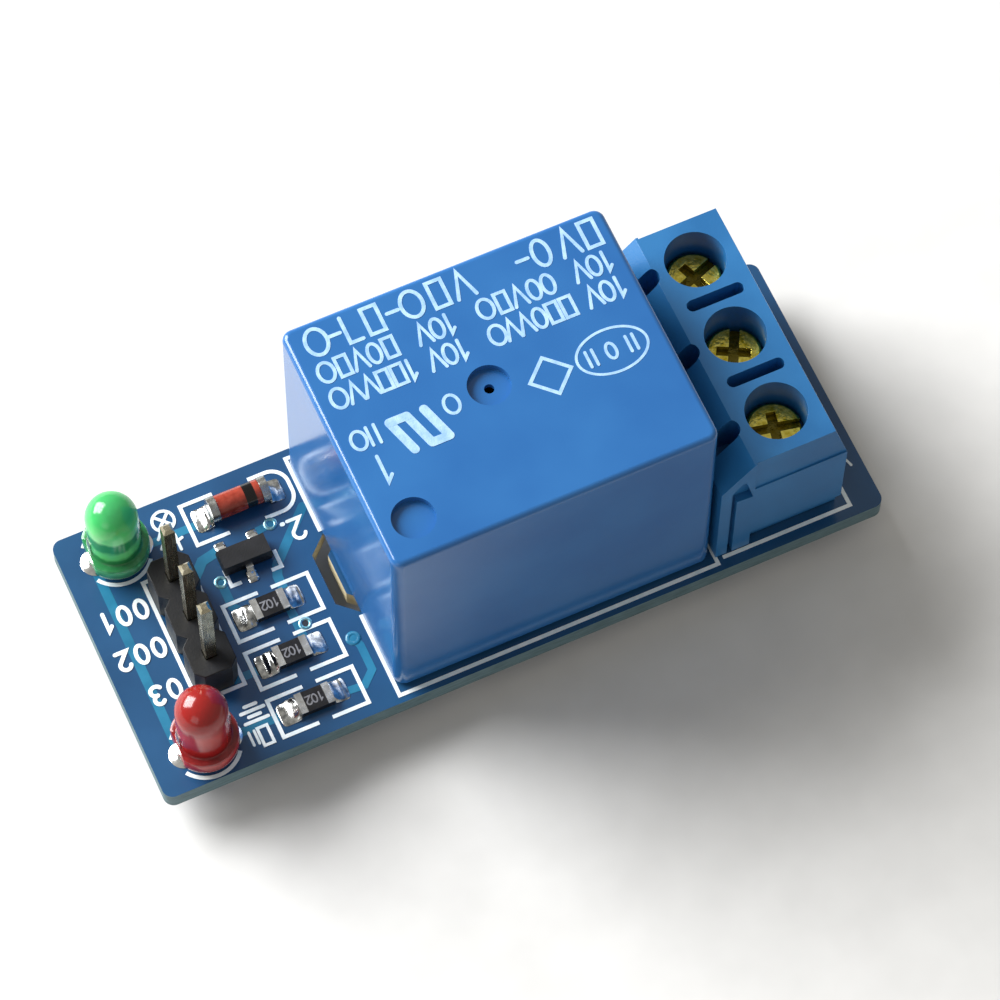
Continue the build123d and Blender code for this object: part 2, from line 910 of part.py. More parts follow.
with BuildPart() as diode_die:
    with BuildSketch(along_diode(-die_thick / 2)):
        Rectangle(slug_radius, slug_radius)
    extrude(amount=die_thick)

keep(diode_die.part, "diode_die")

with BuildPart() as diode_caps:
    with BuildSketch(along_diode(-diode_length / 2), along_diode(glass_length / 2)):
        Circle(diode_radius)
    extrude(amount=end_cap)

keep(diode_caps.part, "diode_caps")


# Transistor: three bent legs, and a body drafted above and below its parting line
leg_face = deck + pad_film
body_foot = leg_face + body_lift
leg_level = body_foot + transistor_height / 2
legs = ((0, -1), (leg_pitch, 1), (-leg_pitch, 1))
with BuildPart() as transistor_legs:
    for leg_x, side in legs:
        root = side * (transistor_width / 2 - leg_root)
        knee = side * (transistor_width / 2 + leg_knee)
        toe = side * leg_span / 2
        rise = leg_level - leg_face
        leg_plane = Plane(
            origin=(transistor_x + leg_x - leg_width / 2, transistor_y, leg_face),
            x_dir=(0, 1, 0),
            z_dir=(1, 0, 0),
        )
        plate(
            leg_plane,
            (
                (root, rise - leg_thick / 2),
                (knee - side * leg_thick, rise - leg_thick / 2),
                (knee - side * leg_thick / 2, 0),
                (toe, 0),
                (toe, leg_thick),
                (knee + side * leg_thick / 2, leg_thick),
                (knee, rise + leg_thick / 2),
                (root, rise + leg_thick / 2),
            ),
            leg_width,
        )

keep(transistor_legs.part, "transistor_legs")

with BuildPart() as transistor_body:
    with BuildSketch(Plane((transistor_x, transistor_y, leg_level))):
        Rectangle(transistor_length, transistor_width)
    extrude(amount=transistor_height / 2, taper=transistor_draft)
    with BuildSketch(Plane((transistor_x, transistor_y, leg_level))):
        Rectangle(transistor_length, transistor_width)
    extrude(amount=-transistor_height / 2, taper=transistor_draft)
    add(transistor_legs.part, mode=Mode.SUBTRACT)

keep(transistor_body.part, "transistor_body")


# Solder joints: in each hole a tinned ring on top, solder through the board, and a cone below
with BuildPart() as pin_solder:
    for spots, drill, pad, pin_x, pin_y in pin_groups:
        with BuildSketch(Plane.XY.offset(deck)):
            with Locations(*spots):
                RegularPolygon(pad / 2, hole_sides)
        extrude(amount=pad_film)
        with BuildSketch(Plane.XY.offset(underside)):
            with Locations(*spots):
                RegularPolygon(drill / 2, hole_sides)
        extrude(amount=board_thickness)
        cone_height = (pad / 2 - pin_size / 2 - cone_rim) * tan(radians(cone_slope))
        with BuildSketch(Plane.XY.offset(underside)):
            with Locations(*spots):
                RegularPolygon(pad / 2, hole_sides)
        extrude(amount=-cone_height, taper=90 - cone_slope)
        with BuildSketch(Plane.XY.offset(deck + pad_film)):
            with Locations(*spots):
                Rectangle(pin_x, pin_y)
        extrude(amount=-board_thickness - pad_film - cone_height, mode=Mode.SUBTRACT)

keep(pin_solder.part, "pin_solder")


def wedge(x, y, side, reach, under, height, width):
    """A pad on the deck under one end of a part, and the fillet of solder outside that end."""
    face = side_plane(x, y + width / 2, deck)
    plate(
        face,
        (
            (side * (reach - under), 0),
            (side * (reach + solder_reach), 0),
            (side * (reach + solder_reach), pad_film),
            (side * (reach + solder_reach * sag), pad_film + height * sag),
            (side * reach, pad_film + height),
            (side * reach, pad_film),
            (side * (reach - under), pad_film),
        ),
        width,
    )


# Solder pads on the deck, each with a wedge that climbs the end of its part
with BuildPart() as surface_solder:
    for y in resistor_ys:
        for side in (-1, 1):
            wedge(resistor_x, y, side, chip_length / 2, chip_cap, chip_height * chip_climb, chip_width)
    for side in (-1, 1):
        wedge(diode_x, diode_y, side, diode_length / 2, end_cap, diode_radius, 2 * diode_radius)
    for leg_x, side in legs:
        heel = side * (transistor_width / 2 + leg_knee)
        toe = side * leg_span / 2
        pad_plane = Plane(
            origin=(transistor_x + leg_x - leg_pad_width / 2, transistor_y, deck),
            x_dir=(0, 1, 0),
            z_dir=(1, 0, 0),
        )
        plate(
            pad_plane,
            (
                (heel, 0),
                (toe + side * leg_solder, 0),
                (toe + side * leg_solder, pad_film),
                (toe, pad_film + leg_thick),
                (toe, pad_film),
                (heel, pad_film),
            ),
            leg_pad_width,
        )

keep(surface_solder.part, "surface_solder")


def stroke(*points, turn=0.0):
    """Traces an ink line through the points, with its corners rounded by turn, in the open sketch."""
    with BuildLine() as path:
        if turn > 0:
            FilletPolyline(*points, radius=turn)
        else:
            Polyline(*points)
    trace(path.line, line_width=ink_line)


def bracket(x, break_x, y_limits, turn=0.0):
    """One half of a printed box: three lines from break_x out to x and back."""
    low, high = y_limits
    stroke((break_x, high), (x, high), (x, low), (break_x, low), turn=turn)


# Ink lines on the deck: the footprint of every part
with BuildPart() as printed_outlines:
    with BuildSketch(Plane.XY.offset(deck)):
        back_x = relay_x - case_length / 2 - relay_print_back
        front_x = relay_x + case_length / 2 + relay_print_front
        low_y = -board_width / 2 + front_print_inset
        high_y = board_width / 2 - back_print_inset
        stroke(
            (back_x, relay_y + relay_print_break),
            (back_x, high_y),
            (front_x, high_y),
            (front_x, low_y),
            (back_x, low_y),
            (back_x, relay_y - relay_print_break),
        )
        bracket(
            terminal_x + block_front + terminal_print_front,
            front_x + terminal_print_gap,
            (-board_width / 2 + terminal_print_inset[0], board_width / 2 - terminal_print_inset[1]),
        )
        frame_x = header_width / 2 + header_print_margin
        frame_y = header_pins_count * pin_pitch / 2 + header_print_margin
        for side in (-1, 1):
            bracket(header_x + side * frame_x, header_x, (header_y - frame_y, header_y + frame_y))
        bracket(diode_print_x[0], diode_print_break[0], diode_print_y)
        bracket(diode_print_x[1], diode_print_break[1], diode_print_y, diode_print_round)
        for y in resistor_ys:
            middle = y + resistor_print_shift
            limits = (middle - resistor_print_half, middle + resistor_print_half)
            bracket(resistor_print_x[0], resistor_print_break[0], limits)
            bracket(resistor_print_x[1], resistor_print_break[1], limits)
        for x, inward in zip(transistor_print_x, (1, -1)):
            stroke(
                (x, transistor_print_y[1]),
                (x, transistor_print_y[0]),
                (x + inward * transistor_print_foot, transistor_print_y[0]),
            )
        for y in lamp_ys.values():
            for start in (lamp_print_break, 180 + lamp_print_break):
                with BuildLine() as arc:
                    CenterArc((lamp_x, y), lamp_print_radius, start, 180 - 2 * lamp_print_break)
                trace(arc.line, line_width=ink_line)
    extrude(amount=ink_film)

keep(printed_outlines.part, "printed_outlines")
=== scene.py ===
# %% [markdown]
# # Dressing a relay module board
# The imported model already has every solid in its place, in metres, with +Z up. This lesson gives those
# solids their finish, and adds what a drawing of solids leaves out: copper under the mask, ink, solder
# that has flowed, cast lenses and screw heads with their recess. Everything is worked out from sizes in
# millimetres, and a piece goes where the model says its neighbour is.

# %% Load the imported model
import bmesh
import bpy
import json
import math
import numpy as np
from mathutils import Matrix, Quaternion, Vector

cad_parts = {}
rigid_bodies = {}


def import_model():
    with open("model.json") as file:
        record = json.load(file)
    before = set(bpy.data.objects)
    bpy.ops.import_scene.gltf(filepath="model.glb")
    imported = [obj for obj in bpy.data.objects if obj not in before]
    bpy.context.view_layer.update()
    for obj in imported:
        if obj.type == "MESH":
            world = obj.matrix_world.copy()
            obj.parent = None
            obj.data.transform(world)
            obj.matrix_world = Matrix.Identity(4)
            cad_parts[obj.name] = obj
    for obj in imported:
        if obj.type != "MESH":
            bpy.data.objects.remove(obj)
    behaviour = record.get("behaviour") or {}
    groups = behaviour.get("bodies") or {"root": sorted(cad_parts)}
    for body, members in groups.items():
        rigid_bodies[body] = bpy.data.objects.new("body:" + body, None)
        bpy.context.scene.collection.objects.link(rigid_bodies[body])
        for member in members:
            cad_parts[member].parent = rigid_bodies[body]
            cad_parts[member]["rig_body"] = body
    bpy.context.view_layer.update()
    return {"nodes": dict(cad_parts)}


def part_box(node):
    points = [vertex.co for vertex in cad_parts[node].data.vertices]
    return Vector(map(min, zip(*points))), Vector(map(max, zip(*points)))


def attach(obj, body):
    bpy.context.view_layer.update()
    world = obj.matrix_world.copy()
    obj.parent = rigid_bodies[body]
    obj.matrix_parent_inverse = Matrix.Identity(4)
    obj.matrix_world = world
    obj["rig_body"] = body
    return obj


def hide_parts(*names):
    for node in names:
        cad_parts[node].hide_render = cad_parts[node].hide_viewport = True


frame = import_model()
nodes = frame["nodes"]
MM = 0.001

# %% [markdown]
# ## Camera
# A camera is placed by what the picture shows: how far it looks round the object, how far it looks down,
# and how long its lens is. A long lens from 27 cm keeps parallel edges nearly parallel.

# %% Place the camera
camera_azimuth = math.radians(-25.06)
camera_elevation = math.radians(64.29)
camera_roll = math.radians(0.70)
camera_distance = 271.1 * MM
lens_mm = 175.1
aim = Vector((2.2, 0.6, 3.2)) * MM

outward = Vector((
    math.sin(camera_azimuth) * math.cos(camera_elevation),
    -math.cos(camera_azimuth) * math.cos(camera_elevation),
    math.sin(camera_elevation),
))
camera_data = bpy.data.cameras.new("camera")
camera_data.lens = lens_mm
camera_data.sensor_width = 36
camera_data.clip_start = 0.01
camera = bpy.data.objects.new("camera", camera_data)
bpy.context.scene.collection.objects.link(camera)
turn = outward.to_track_quat("Z", "Y") @ Quaternion((0, 0, 1), camera_roll)
camera.matrix_world = Matrix.Translation(aim + outward * camera_distance) @ turn.to_matrix().to_4x4()
bpy.context.scene.camera = camera
print("camera at", [round(v, 4) for v in camera.matrix_world.translation])

# %% [markdown]
# ## Colour and nodes
# Colours are written as the hex values that a colour picker shows. Shaders work in linear light, so one
# function converts them. Another adds a shader node with its properties, its values and its links, which
# keeps each material down to a few readable lines.


# %% Helpers for colours and shader nodes
def tint(code):
    """Linear RGBA of an sRGB hex colour: v / 12.92 below 0.04045, else ((v + 0.055) / 1.055) to the 2.4."""
    value = np.array([int(code[i:i + 2], 16) for i in (1, 3, 5)]) / 255
    linear = np.where(value <= 0.04045, value / 12.92, ((value + 0.055) / 1.055) ** 2.4)
    return (*linear.tolist(), 1.0)


def add(tree, kind, values=None, links=None, **settings):
    """Adds a node, sets its properties and its inputs' values, and links sockets to its inputs."""
    node = tree.nodes.new(kind)
    for name, value in settings.items():
        setattr(node, name, value)
    for name, value in (values or {}).items():
        node.inputs[name].default_value = value
    for name, socket in (links or {}).items():
        tree.links.new(socket, node.inputs[name])
    return node


def blank(name):
    """A new material with an empty node tree, and its texture coordinates."""
    material = bpy.data.materials.new(name)
    material.use_nodes = True
    material.node_tree.nodes.clear()
    return material, material.node_tree, add(material.node_tree, "ShaderNodeTexCoord")


def per(size_mm):
    """A noise scale whose features are about this size in millimetres."""
    return 1 / (size_mm * MM)


def ramp(tree, factor, stops):
    """A colour ramp over the factor, from a list of (position, hex colour)."""
    node = add(tree, "ShaderNodeValToRGB", links={"Fac": factor})
    while len(node.color_ramp.elements) < len(stops):
        node.color_ramp.elements.new(1.0)
    for element, (position, code) in zip(node.color_ramp.elements, stops):
        element.position = position
        element.color = tint(code)
    return node


def finish_material(tree, shader):
    """Links the shader to the material's output."""
    add(tree, "ShaderNodeOutputMaterial", links={"Surface": shader.outputs[0]})


# %% [markdown]
# ## Moulded plastics
# Relay cases are injection-moulded polyester, terminal blocks are nylon, and the header is a darker
# nylon. All are spark-eroded or polished in the mould, so the surface has a fine grain, faint flow marks
# and a gloss that differs from one to the next. The grain of a real mould is finer than a pixel here, so
# it is drawn about three times as coarse.


# %% Moulded plastics
def moulded(name, deep, pale, gloss, grain_mm, grain, flow_mm, specular=0.5):
    """A moulded plastic: two close colours mixed by slow flow marks, and a fine grain in the bump."""
    material, tree, place = blank(name)
    spot = place.outputs["Object"]
    flow = add(tree, "ShaderNodeTexNoise", {"Scale": per(flow_mm), "Detail": 3.0}, {"Vector": spot})
    shade = ramp(tree, flow.outputs["Fac"], ((0.35, deep), (0.65, pale)))
    fine = add(tree, "ShaderNodeTexNoise", {"Scale": per(grain_mm), "Detail": 2.0}, {"Vector": spot})
    polish = add(
        tree, "ShaderNodeMapRange",
        {"To Min": gloss - 0.05, "To Max": gloss + 0.07}, {"Value": flow.outputs["Fac"]},
    )
    bump = add(
        tree, "ShaderNodeBump",
        {"Strength": grain, "Distance": 0.02 * MM}, {"Height": fine.outputs["Fac"]},
    )
    shader = add(
        tree, "ShaderNodeBsdfPrincipled",
        {"IOR": 1.52, "Specular IOR Level": specular},
        {"Base Color": shade.outputs["Color"], "Roughness": polish.outputs["Result"],
         "Normal": bump.outputs["Normal"]},
    )
    finish_material(tree, shader)
    return material


relay_case = moulded("relay case, polyester", "#245E9C", "#2A66A3", 0.16, 0.10, 0.16, 6.0)
relay_foot = moulded("relay base, polyester", "#17417E", "#1D4C8E", 0.40, 0.12, 0.35, 4.0)
block_nylon = moulded("terminal block, nylon", "#1F6299", "#286EA6", 0.34, 0.14, 0.35, 4.0)
header_nylon = moulded("pin header, black nylon", "#0E0F11", "#16171A", 0.45, 0.12, 0.5, 1.5, 0.3)
package_epoxy = moulded("transistor package, epoxy", "#0F0F11", "#17171A", 0.50, 0.09, 0.6, 0.8, 0.3)
bobbin_nylon = moulded("coil bobbin, natural nylon", "#C9C2AB", "#DAD4C0", 0.45, 0.15, 0.4, 3.0)
print("plastics", [m.name for m in (relay_case, relay_foot, block_nylon, header_nylon, package_epoxy)])

# %% [markdown]
# ## Metals
# Almost every metal here is plated: bright tin on leads and solder, yellow-passivated zinc on the screws,
# nickel on the clamps, flash gold or tin on the header pins. Plating follows the sheet's rolling marks,
# so a fine streak along one axis and a cloudy change of roughness are enough to tell them apart.


# %% Metals
def plated(name, deep, pale, gloss, streak, cloud_mm, dent=0.3, grain_mm=0.12, recess=None):
    """A plated metal: clouded colour and roughness, with marks that are stretched by streak (x, y, z).

    Between the two heights of a recess, in metres, the colour rises from a painted shade to the plating."""
    material, tree, place = blank(name)
    spot = place.outputs["Object"]
    along = add(tree, "ShaderNodeMapping", {"Scale": streak}, {"Vector": spot})
    cloud = add(tree, "ShaderNodeTexNoise", {"Scale": per(cloud_mm), "Detail": 4.0}, {"Vector": spot})
    marks = add(
        tree, "ShaderNodeTexNoise",
        {"Scale": per(grain_mm), "Detail": 3.0}, {"Vector": along.outputs["Vector"]},
    )
    colour = ramp(tree, cloud.outputs["Fac"], ((0.3, deep), (0.7, pale))).outputs["Color"]
    if recess:
        # Low in a recess the colour turns to a dark painted shade, for the shade that falls in the hollow.
        height = add(tree, "ShaderNodeSeparateXYZ", links={"Vector": spot}).outputs["Z"]
        out_of_shade = add(tree, "ShaderNodeMapRange", {"From Min": recess[0], "From Max": recess[1]},
                    {"Value": height})
        colour = add(tree, "ShaderNodeMix", {6: tint("#463C12")},
                     {0: out_of_shade.outputs["Result"], 7: colour}, data_type="RGBA").outputs[2]
    polish = add(
        tree, "ShaderNodeMapRange",
        {"To Min": gloss - 0.08, "To Max": gloss + 0.14}, {"Value": marks.outputs["Fac"]},
    )
    bump = add(
        tree, "ShaderNodeBump",
        {"Strength": dent, "Distance": 0.02 * MM}, {"Height": marks.outputs["Fac"]},
    )
    shader = add(
        tree, "ShaderNodeBsdfPrincipled",
        {"Metallic": 1.0},
        {"Base Color": colour, "Roughness": polish.outputs["Result"],
         "Normal": bump.outputs["Normal"]},
    )
    finish_material(tree, shader)
    return material


even = (1.0, 1.0, 1.0)
upright = (1.0, 1.0, 0.15)
solder_tin = plated("solder, bright tin", "#D0D2D2", "#F6F6F3", 0.14, even, 0.6, 0.12, 0.5)
reflow_tin = plated("solder, reflowed tin", "#6E7276", "#E6E7E4", 0.13, even, 0.35, 0.25, 0.3)
lead_tin = plated("tinned lead", "#C4C6C6", "#F0F0EC", 0.22, even, 0.8, 0.06, 0.4)
head_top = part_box("clamp_screw_1")[1].z
# The screw heads get painted shade in their recess, from its floor up to just under the top.
screw_zinc = plated("screw, yellow passivated zinc", "#C8B428", "#FFF280", 0.17, even, 0.30, 1.0, 0.22,
                    recess=(head_top - 0.55 * MM, head_top - 0.12 * MM))
clamp_nickel = plated("clamp, nickel on steel", "#A8AAA9", "#CFD0CC", 0.28, upright, 0.8)
pin_plate = plated("header pin, tin over brass", "#A39B82", "#D5CFB8", 0.22, (1.0, 1.0, 0.08), 1.0)
strip_tin = plated("strip, tinned brass", "#BDB9A8", "#DAD7C8", 0.30, (0.2, 1.0, 1.0), 0.8)
core_iron = plated("relay iron, zinc plated", "#9C9EA2", "#C2C4C6", 0.32, upright, 1.0)
spring_bronze = plated("contact spring, bronze", "#B07A48", "#D09A66", 0.26, (0.15, 1.0, 1.0), 0.8)
contact_silver = plated("contact, silver", "#CFCFCB", "#ECECE8", 0.24, even, 0.4)
# The diode caps' tin is darker than tin: a painted dark reflection.
cap_tin_painted_dark = plated("diode cap, tin with painted dark reflection", "#8C8E8B", "#C4C5C1", 0.24, even, 0.5)
via_copper = plated("via ring, tinned copper", "#4E93A6", "#9CC0CA", 0.30, even, 0.25)
dumet = plated("diode plug, oxidised copper", "#7A2410", "#A43A1C", 0.35, even, 0.3)
print("metals", [m.name for m in (solder_tin, lead_tin, screw_zinc, clamp_nickel, pin_plate)])

# %% [markdown]
# ## Laminate and mask
# The board is woven glass in epoxy, which shows only at its sawn edges, under a blue photo-imaged mask.
# The mask is a thin glossy lacquer: over bare laminate it looks dark, and over copper it looks lighter
# and greener. The edge is found by the surface normal, because the CAD board is one solid.


# %% Board materials
slot_middle, slot_reach = (-7.6, 0.15), 4.6


def masked_board(name):
    """Blue mask where the surface faces up or down, and sawn glass laminate where it faces sideways.

    The milled slot round the relay's common pin, found by its distance from slot_middle, is paler."""
    material, tree, place = blank(name)
    spot = place.outputs["Object"]
    cloud = add(tree, "ShaderNodeTexNoise", {"Scale": per(5.0), "Detail": 3.0}, {"Vector": spot})
    mask = ramp(tree, cloud.outputs["Fac"], ((0.3, "#1A4369"), (0.7, "#224F78")))
    layers = add(tree, "ShaderNodeMapping", {"Scale": (0.15, 0.15, 1.0)}, {"Vector": spot})
    weave = add(tree, "ShaderNodeTexNoise", {"Scale": per(0.18), "Detail": 4.0},
                {"Vector": layers.outputs["Vector"]})
    edge = ramp(tree, weave.outputs["Fac"], ((0.3, "#3E5A62"), (0.7, "#5F7A80")))
    routed = ramp(tree, weave.outputs["Fac"], ((0.3, "#C4B792"), (0.7, "#DCD2B2")))
    middle = add(tree, "ShaderNodeMapping", {"Location": (-slot_middle[0] * MM, -slot_middle[1] * MM, 0.0)},
                 {"Vector": spot})
    reach = add(tree, "ShaderNodeVectorMath", links={0: middle.outputs["Vector"]}, operation="LENGTH")
    inner = add(tree, "ShaderNodeMath", {1: slot_reach * MM}, {0: reach.outputs["Value"]},
                operation="LESS_THAN")
    sawn = add(
        tree, "ShaderNodeMix", links={0: inner.outputs["Value"], 6: edge.outputs["Color"],
                                      7: routed.outputs["Color"]}, data_type="RGBA",
    )
    facing = add(tree, "ShaderNodeSeparateXYZ", links={"Vector": place.outputs["Normal"]})
    level = add(tree, "ShaderNodeMath", links={0: facing.outputs["Z"]}, operation="ABSOLUTE")
    flat = add(tree, "ShaderNodeMath", {1: 0.5}, {0: level.outputs["Value"]}, operation="GREATER_THAN")
    shade = add(
        tree, "ShaderNodeMix", links={0: flat.outputs["Value"], 6: sawn.outputs[2],
                                      7: mask.outputs["Color"]}, data_type="RGBA",
    )
    polish = add(tree, "ShaderNodeMapRange", {"To Min": 0.6, "To Max": 0.20},
                 {"Value": flat.outputs["Value"]})
    ripple = add(tree, "ShaderNodeTexNoise", {"Scale": per(0.5), "Detail": 2.0}, {"Vector": spot})
    bump = add(tree, "ShaderNodeBump", {"Strength": 0.25, "Distance": 0.02 * MM},
               {"Height": ripple.outputs["Fac"]})
    shader = add(
        tree, "ShaderNodeBsdfPrincipled", {"IOR": 1.55},
        {"Base Color": shade.outputs[2], "Roughness": polish.outputs["Result"],
         "Normal": bump.outputs["Normal"]},
    )
    finish_material(tree, shader)
    return material


board_mask = masked_board("solder mask on glass laminate")
copper_mask = moulded("solder mask over copper", "#1C6486", "#28789A", 0.22, 0.3, 0.3, 2.0)
white_ink = moulded("screen ink, white", "#DCEBF0", "#F2F8FA", 0.55, 0.10, 0.8, 0.5)
pale_ink = moulded("pad-printed ink, pale blue", "#88B0DA", "#A6C8EA", 0.50, 0.10, 0.6, 0.6)
grey_ink = moulded("glaze ink, grey", "#6C6C70", "#808084", 0.50, 0.10, 0.4, 0.5)
# A via's dark middle is painted shade: a dark disc stands for the shaded inside of the hole.
via_hole_shade = moulded("open via, painted shade inside", "#0A1420", "#101C2A", 0.5, 0.1, 0.3, 0.3)
print("board", board_mask.name, copper_mask.name, white_ink.name)

# %% [markdown]
# ## Cast epoxy, glass and ceramic
# The lamps are cast in tinted, milky epoxy, so light goes in and comes back soft. The diode is a glass
# tube over an oxide-red plug. The resistors are alumina under a black glaze.


# %% Clear and glazed materials
lamp_seat, lamp_height = 3.8, 5.5


def cast_epoxy(name, bands, clear):
    """Tinted epoxy, glossy from the mould, let through by clear, in bands of colour by height.

    The bands are the light that the dome gathers and throws on the barrel, and a haze makes them wander."""
    material, tree, place = blank(name)
    spot = place.outputs["Object"]
    haze = add(tree, "ShaderNodeTexNoise", {"Scale": per(0.8), "Detail": 3.0}, {"Vector": spot})
    parts = add(tree, "ShaderNodeSeparateXYZ", links={"Vector": spot})
    wander = add(tree, "ShaderNodeMath", {1: 0.0006}, {0: haze.outputs["Fac"]}, operation="MULTIPLY")
    level = add(tree, "ShaderNodeMath", links={0: parts.outputs["Z"], 1: wander.outputs["Value"]})
    foot = lamp_seat * MM + 0.0003
    height = add(
        tree, "ShaderNodeMapRange", {"From Min": foot, "From Max": foot + lamp_height * MM},
        {"Value": level.outputs["Value"]},
    )
    shade = ramp(tree, height.outputs["Result"], bands)
    skin = add(tree, "ShaderNodeTexNoise", {"Scale": per(0.3), "Detail": 1.0}, {"Vector": spot})
    bump = add(tree, "ShaderNodeBump", {"Strength": 0.08, "Distance": 0.02 * MM},
               {"Height": skin.outputs["Fac"]})
    shader = add(
        tree, "ShaderNodeBsdfPrincipled",
        {"IOR": 1.53, "Transmission Weight": clear, "Roughness": 0.16, "Subsurface Weight": 0.35,
         "Subsurface Radius": (1.0 * MM, 1.0 * MM, 1.0 * MM), "Subsurface Scale": 1.0},
        {"Base Color": shade.outputs["Color"], "Normal": bump.outputs["Normal"]},
    )
    finish_material(tree, shader)
    return material


def drawn_glass(name, body, band):
    """Glass over an oxide-red plug, with a painted band at the cathode."""
    material, tree, place = blank(name)
    spot = place.outputs["Object"]
    parts = add(tree, "ShaderNodeSeparateXYZ", links={"Vector": spot})
    low, high = (v * MM for v in band)
    painted = add(
        tree, "ShaderNodeMath", {1: (low + high) / 2, 2: (high - low) / 2},
        {0: parts.outputs["X"]}, operation="COMPARE",
    )
    cloud = add(tree, "ShaderNodeTexNoise", {"Scale": per(0.4), "Detail": 3.0}, {"Vector": spot})
    red = ramp(tree, cloud.outputs["Fac"], ((0.3, body[0]), (0.7, body[1])))
    shade = add(
        tree, "ShaderNodeMix", {7: tint("#0C0C0E")},
        {0: painted.outputs["Value"], 6: red.outputs["Color"]}, data_type="RGBA",
    )
    shader = add(
        tree, "ShaderNodeBsdfPrincipled",
        {"IOR": 1.52, "Transmission Weight": 0.45, "Roughness": 0.06},
        {"Base Color": shade.outputs[2]},
    )
    finish_material(tree, shader)
    return material


green_epoxy = cast_epoxy("lamp epoxy, green", (
    (0.02, "#348A60"), (0.13, "#62C084"), (0.18, "#2A844A"), (0.25, "#2A844A"), (0.31, "#6ADC80"),
    (0.40, "#6ADC80"), (0.47, "#32A05C"), (0.60, "#32A05C"), (0.66, "#88F09A"), (0.78, "#66DC80"),
    (0.90, "#40BC66"), (1.0, "#40AA62"),
), 0.15)
red_epoxy = cast_epoxy("lamp epoxy, red", (
    (0.02, "#8C2020"), (0.13, "#B43432"), (0.18, "#7E1416"), (0.28, "#981A1A"), (0.40, "#A01818"),
    (0.50, "#B22C28"), (0.60, "#B8302A"), (0.70, "#A01412"), (0.85, "#941816"), (1.0, "#981E1A"),
), 0.15)
diode_tube = drawn_glass("diode glass", ("#9C301E", "#C4523E"), (-10.86, -10.26))
glaze = moulded("resistor glaze, black", "#121214", "#1C1C1F", 0.25, 0.15, 0.3, 0.8)
enamel_wire = plated("coil wire, enamelled copper", "#8A3E1E", "#B8602E", 0.3, (1.0, 1.0, 8.0), 0.6)
print("clear", green_epoxy.name, red_epoxy.name, diode_tube.name)

# %% [markdown]
# ## Surfaces from numbers
# A new piece is a grid of points: one parameter runs along it, the other round it. Numpy works the whole
# grid out at once, and the mesh gets all its points in one call. A lathe turns a profile, and a stroke
# carries a flat bar with round ends along a line.


# %% Helpers for meshes
def grid_mesh(name, grids, material, body="board", sharp=35):
    """Joins grids of points (rows, columns round, 3), in millimetres, into one closed object.

    Each grid is closed round its second direction, and its first and last rows end in points. Points
    closer than a thousandth of a millimetre become one, and faces are turned to point outwards."""
    points, quads, start = [], [], 0
    for grid in grids:
        rows, columns = grid.shape[:2]
        index = np.arange(rows * columns).reshape(rows, columns) + start
        after = np.roll(index, -1, axis=1)
        quads.append(np.stack((index[:-1], after[:-1], after[1:], index[1:]), axis=-1).reshape(-1, 4))
        points.append(grid.reshape(-1, 3) * MM)
        start += rows * columns
    mesh = bpy.data.meshes.new(name)
    mesh.from_pydata(np.concatenate(points).tolist(), [], np.concatenate(quads).tolist())
    return settle(mesh, name, material, body, sharp)


def settle(mesh, name, material, body, sharp=35):
    """Merges a mesh's doubles, turns it outwards, smooths it below an angle, and hangs it on a body."""
    work = bmesh.new()
    work.from_mesh(mesh)
    bmesh.ops.remove_doubles(work, verts=work.verts, dist=0.001 * MM)
    bmesh.ops.dissolve_degenerate(work, edges=work.edges, dist=0.0005 * MM)
    bmesh.ops.recalc_face_normals(work, faces=work.faces)
    work.to_mesh(mesh)
    work.free()
    mesh.shade_smooth()
    mesh.set_sharp_from_angle(angle=math.radians(sharp))
    piece = bpy.data.objects.new(name, mesh)
    bpy.context.scene.collection.objects.link(piece)
    piece.data.materials.clear()
    piece.data.materials.append(material)
    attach(piece, body)
    return piece


def lathe(profile, centre, around=48):
    """A turned form: the profile's (radius, height) points carried round an upright axis at centre."""
    angle = np.linspace(0, 2 * np.pi, around, endpoint=False)
    radius, height = np.array(profile, float).T
    x = centre[0] + radius[:, None] * np.cos(angle)
    y = centre[1] + radius[:, None] * np.sin(angle)
    z = np.broadcast_to(height[:, None], x.shape) + centre[2]
    return np.stack((x, y, z), axis=-1)


def stroke(line, width, low, high, cap=6):
    """A flat bar with round ends along a line of (x, y) points, from height low to high.

    At a distance d past either end the half width is the root of r squared less d squared. At a corner
    the bar is mitred: its side lies half the width away, divided by the cosine of half the turn."""
    line = np.array(line, float)
    radius = width / 2
    if np.allclose(line[0], line[-1]):
        return closed_stroke(line[:-1], radius, low, high)
    step = np.diff(line, axis=0)
    ahead = step / np.linalg.norm(step, axis=1, keepdims=True)
    before = np.vstack((ahead[:1], ahead))
    behind = np.vstack((ahead, ahead[-1:]))
    middle = before + behind
    middle /= np.linalg.norm(middle, axis=1, keepdims=True)
    mitre = 1 / np.maximum((middle * before).sum(axis=1), 0.4)
    bend = np.linspace(0, np.pi / 2, cap + 1)
    reach = radius * np.cos(bend[:-1])
    half = radius * np.sin(bend[:-1])
    path = np.vstack((
        line[0] - reach[:, None] * ahead[0], line, line[-1] + reach[::-1, None] * ahead[-1],
    ))
    along = np.vstack((np.tile(ahead[0], (cap, 1)), middle, np.tile(ahead[-1], (cap, 1))))
    wide = np.concatenate((half, radius * mitre, half[::-1]))
    side = np.stack((-along[:, 1], along[:, 0]), axis=-1) * wide[:, None]
    left, right = path + side, path - side
    levels = ((left, low), (left, high), (right, high), (right, low))
    return np.stack([np.column_stack((edge, np.full(len(edge), z))) for edge, z in levels], axis=1)


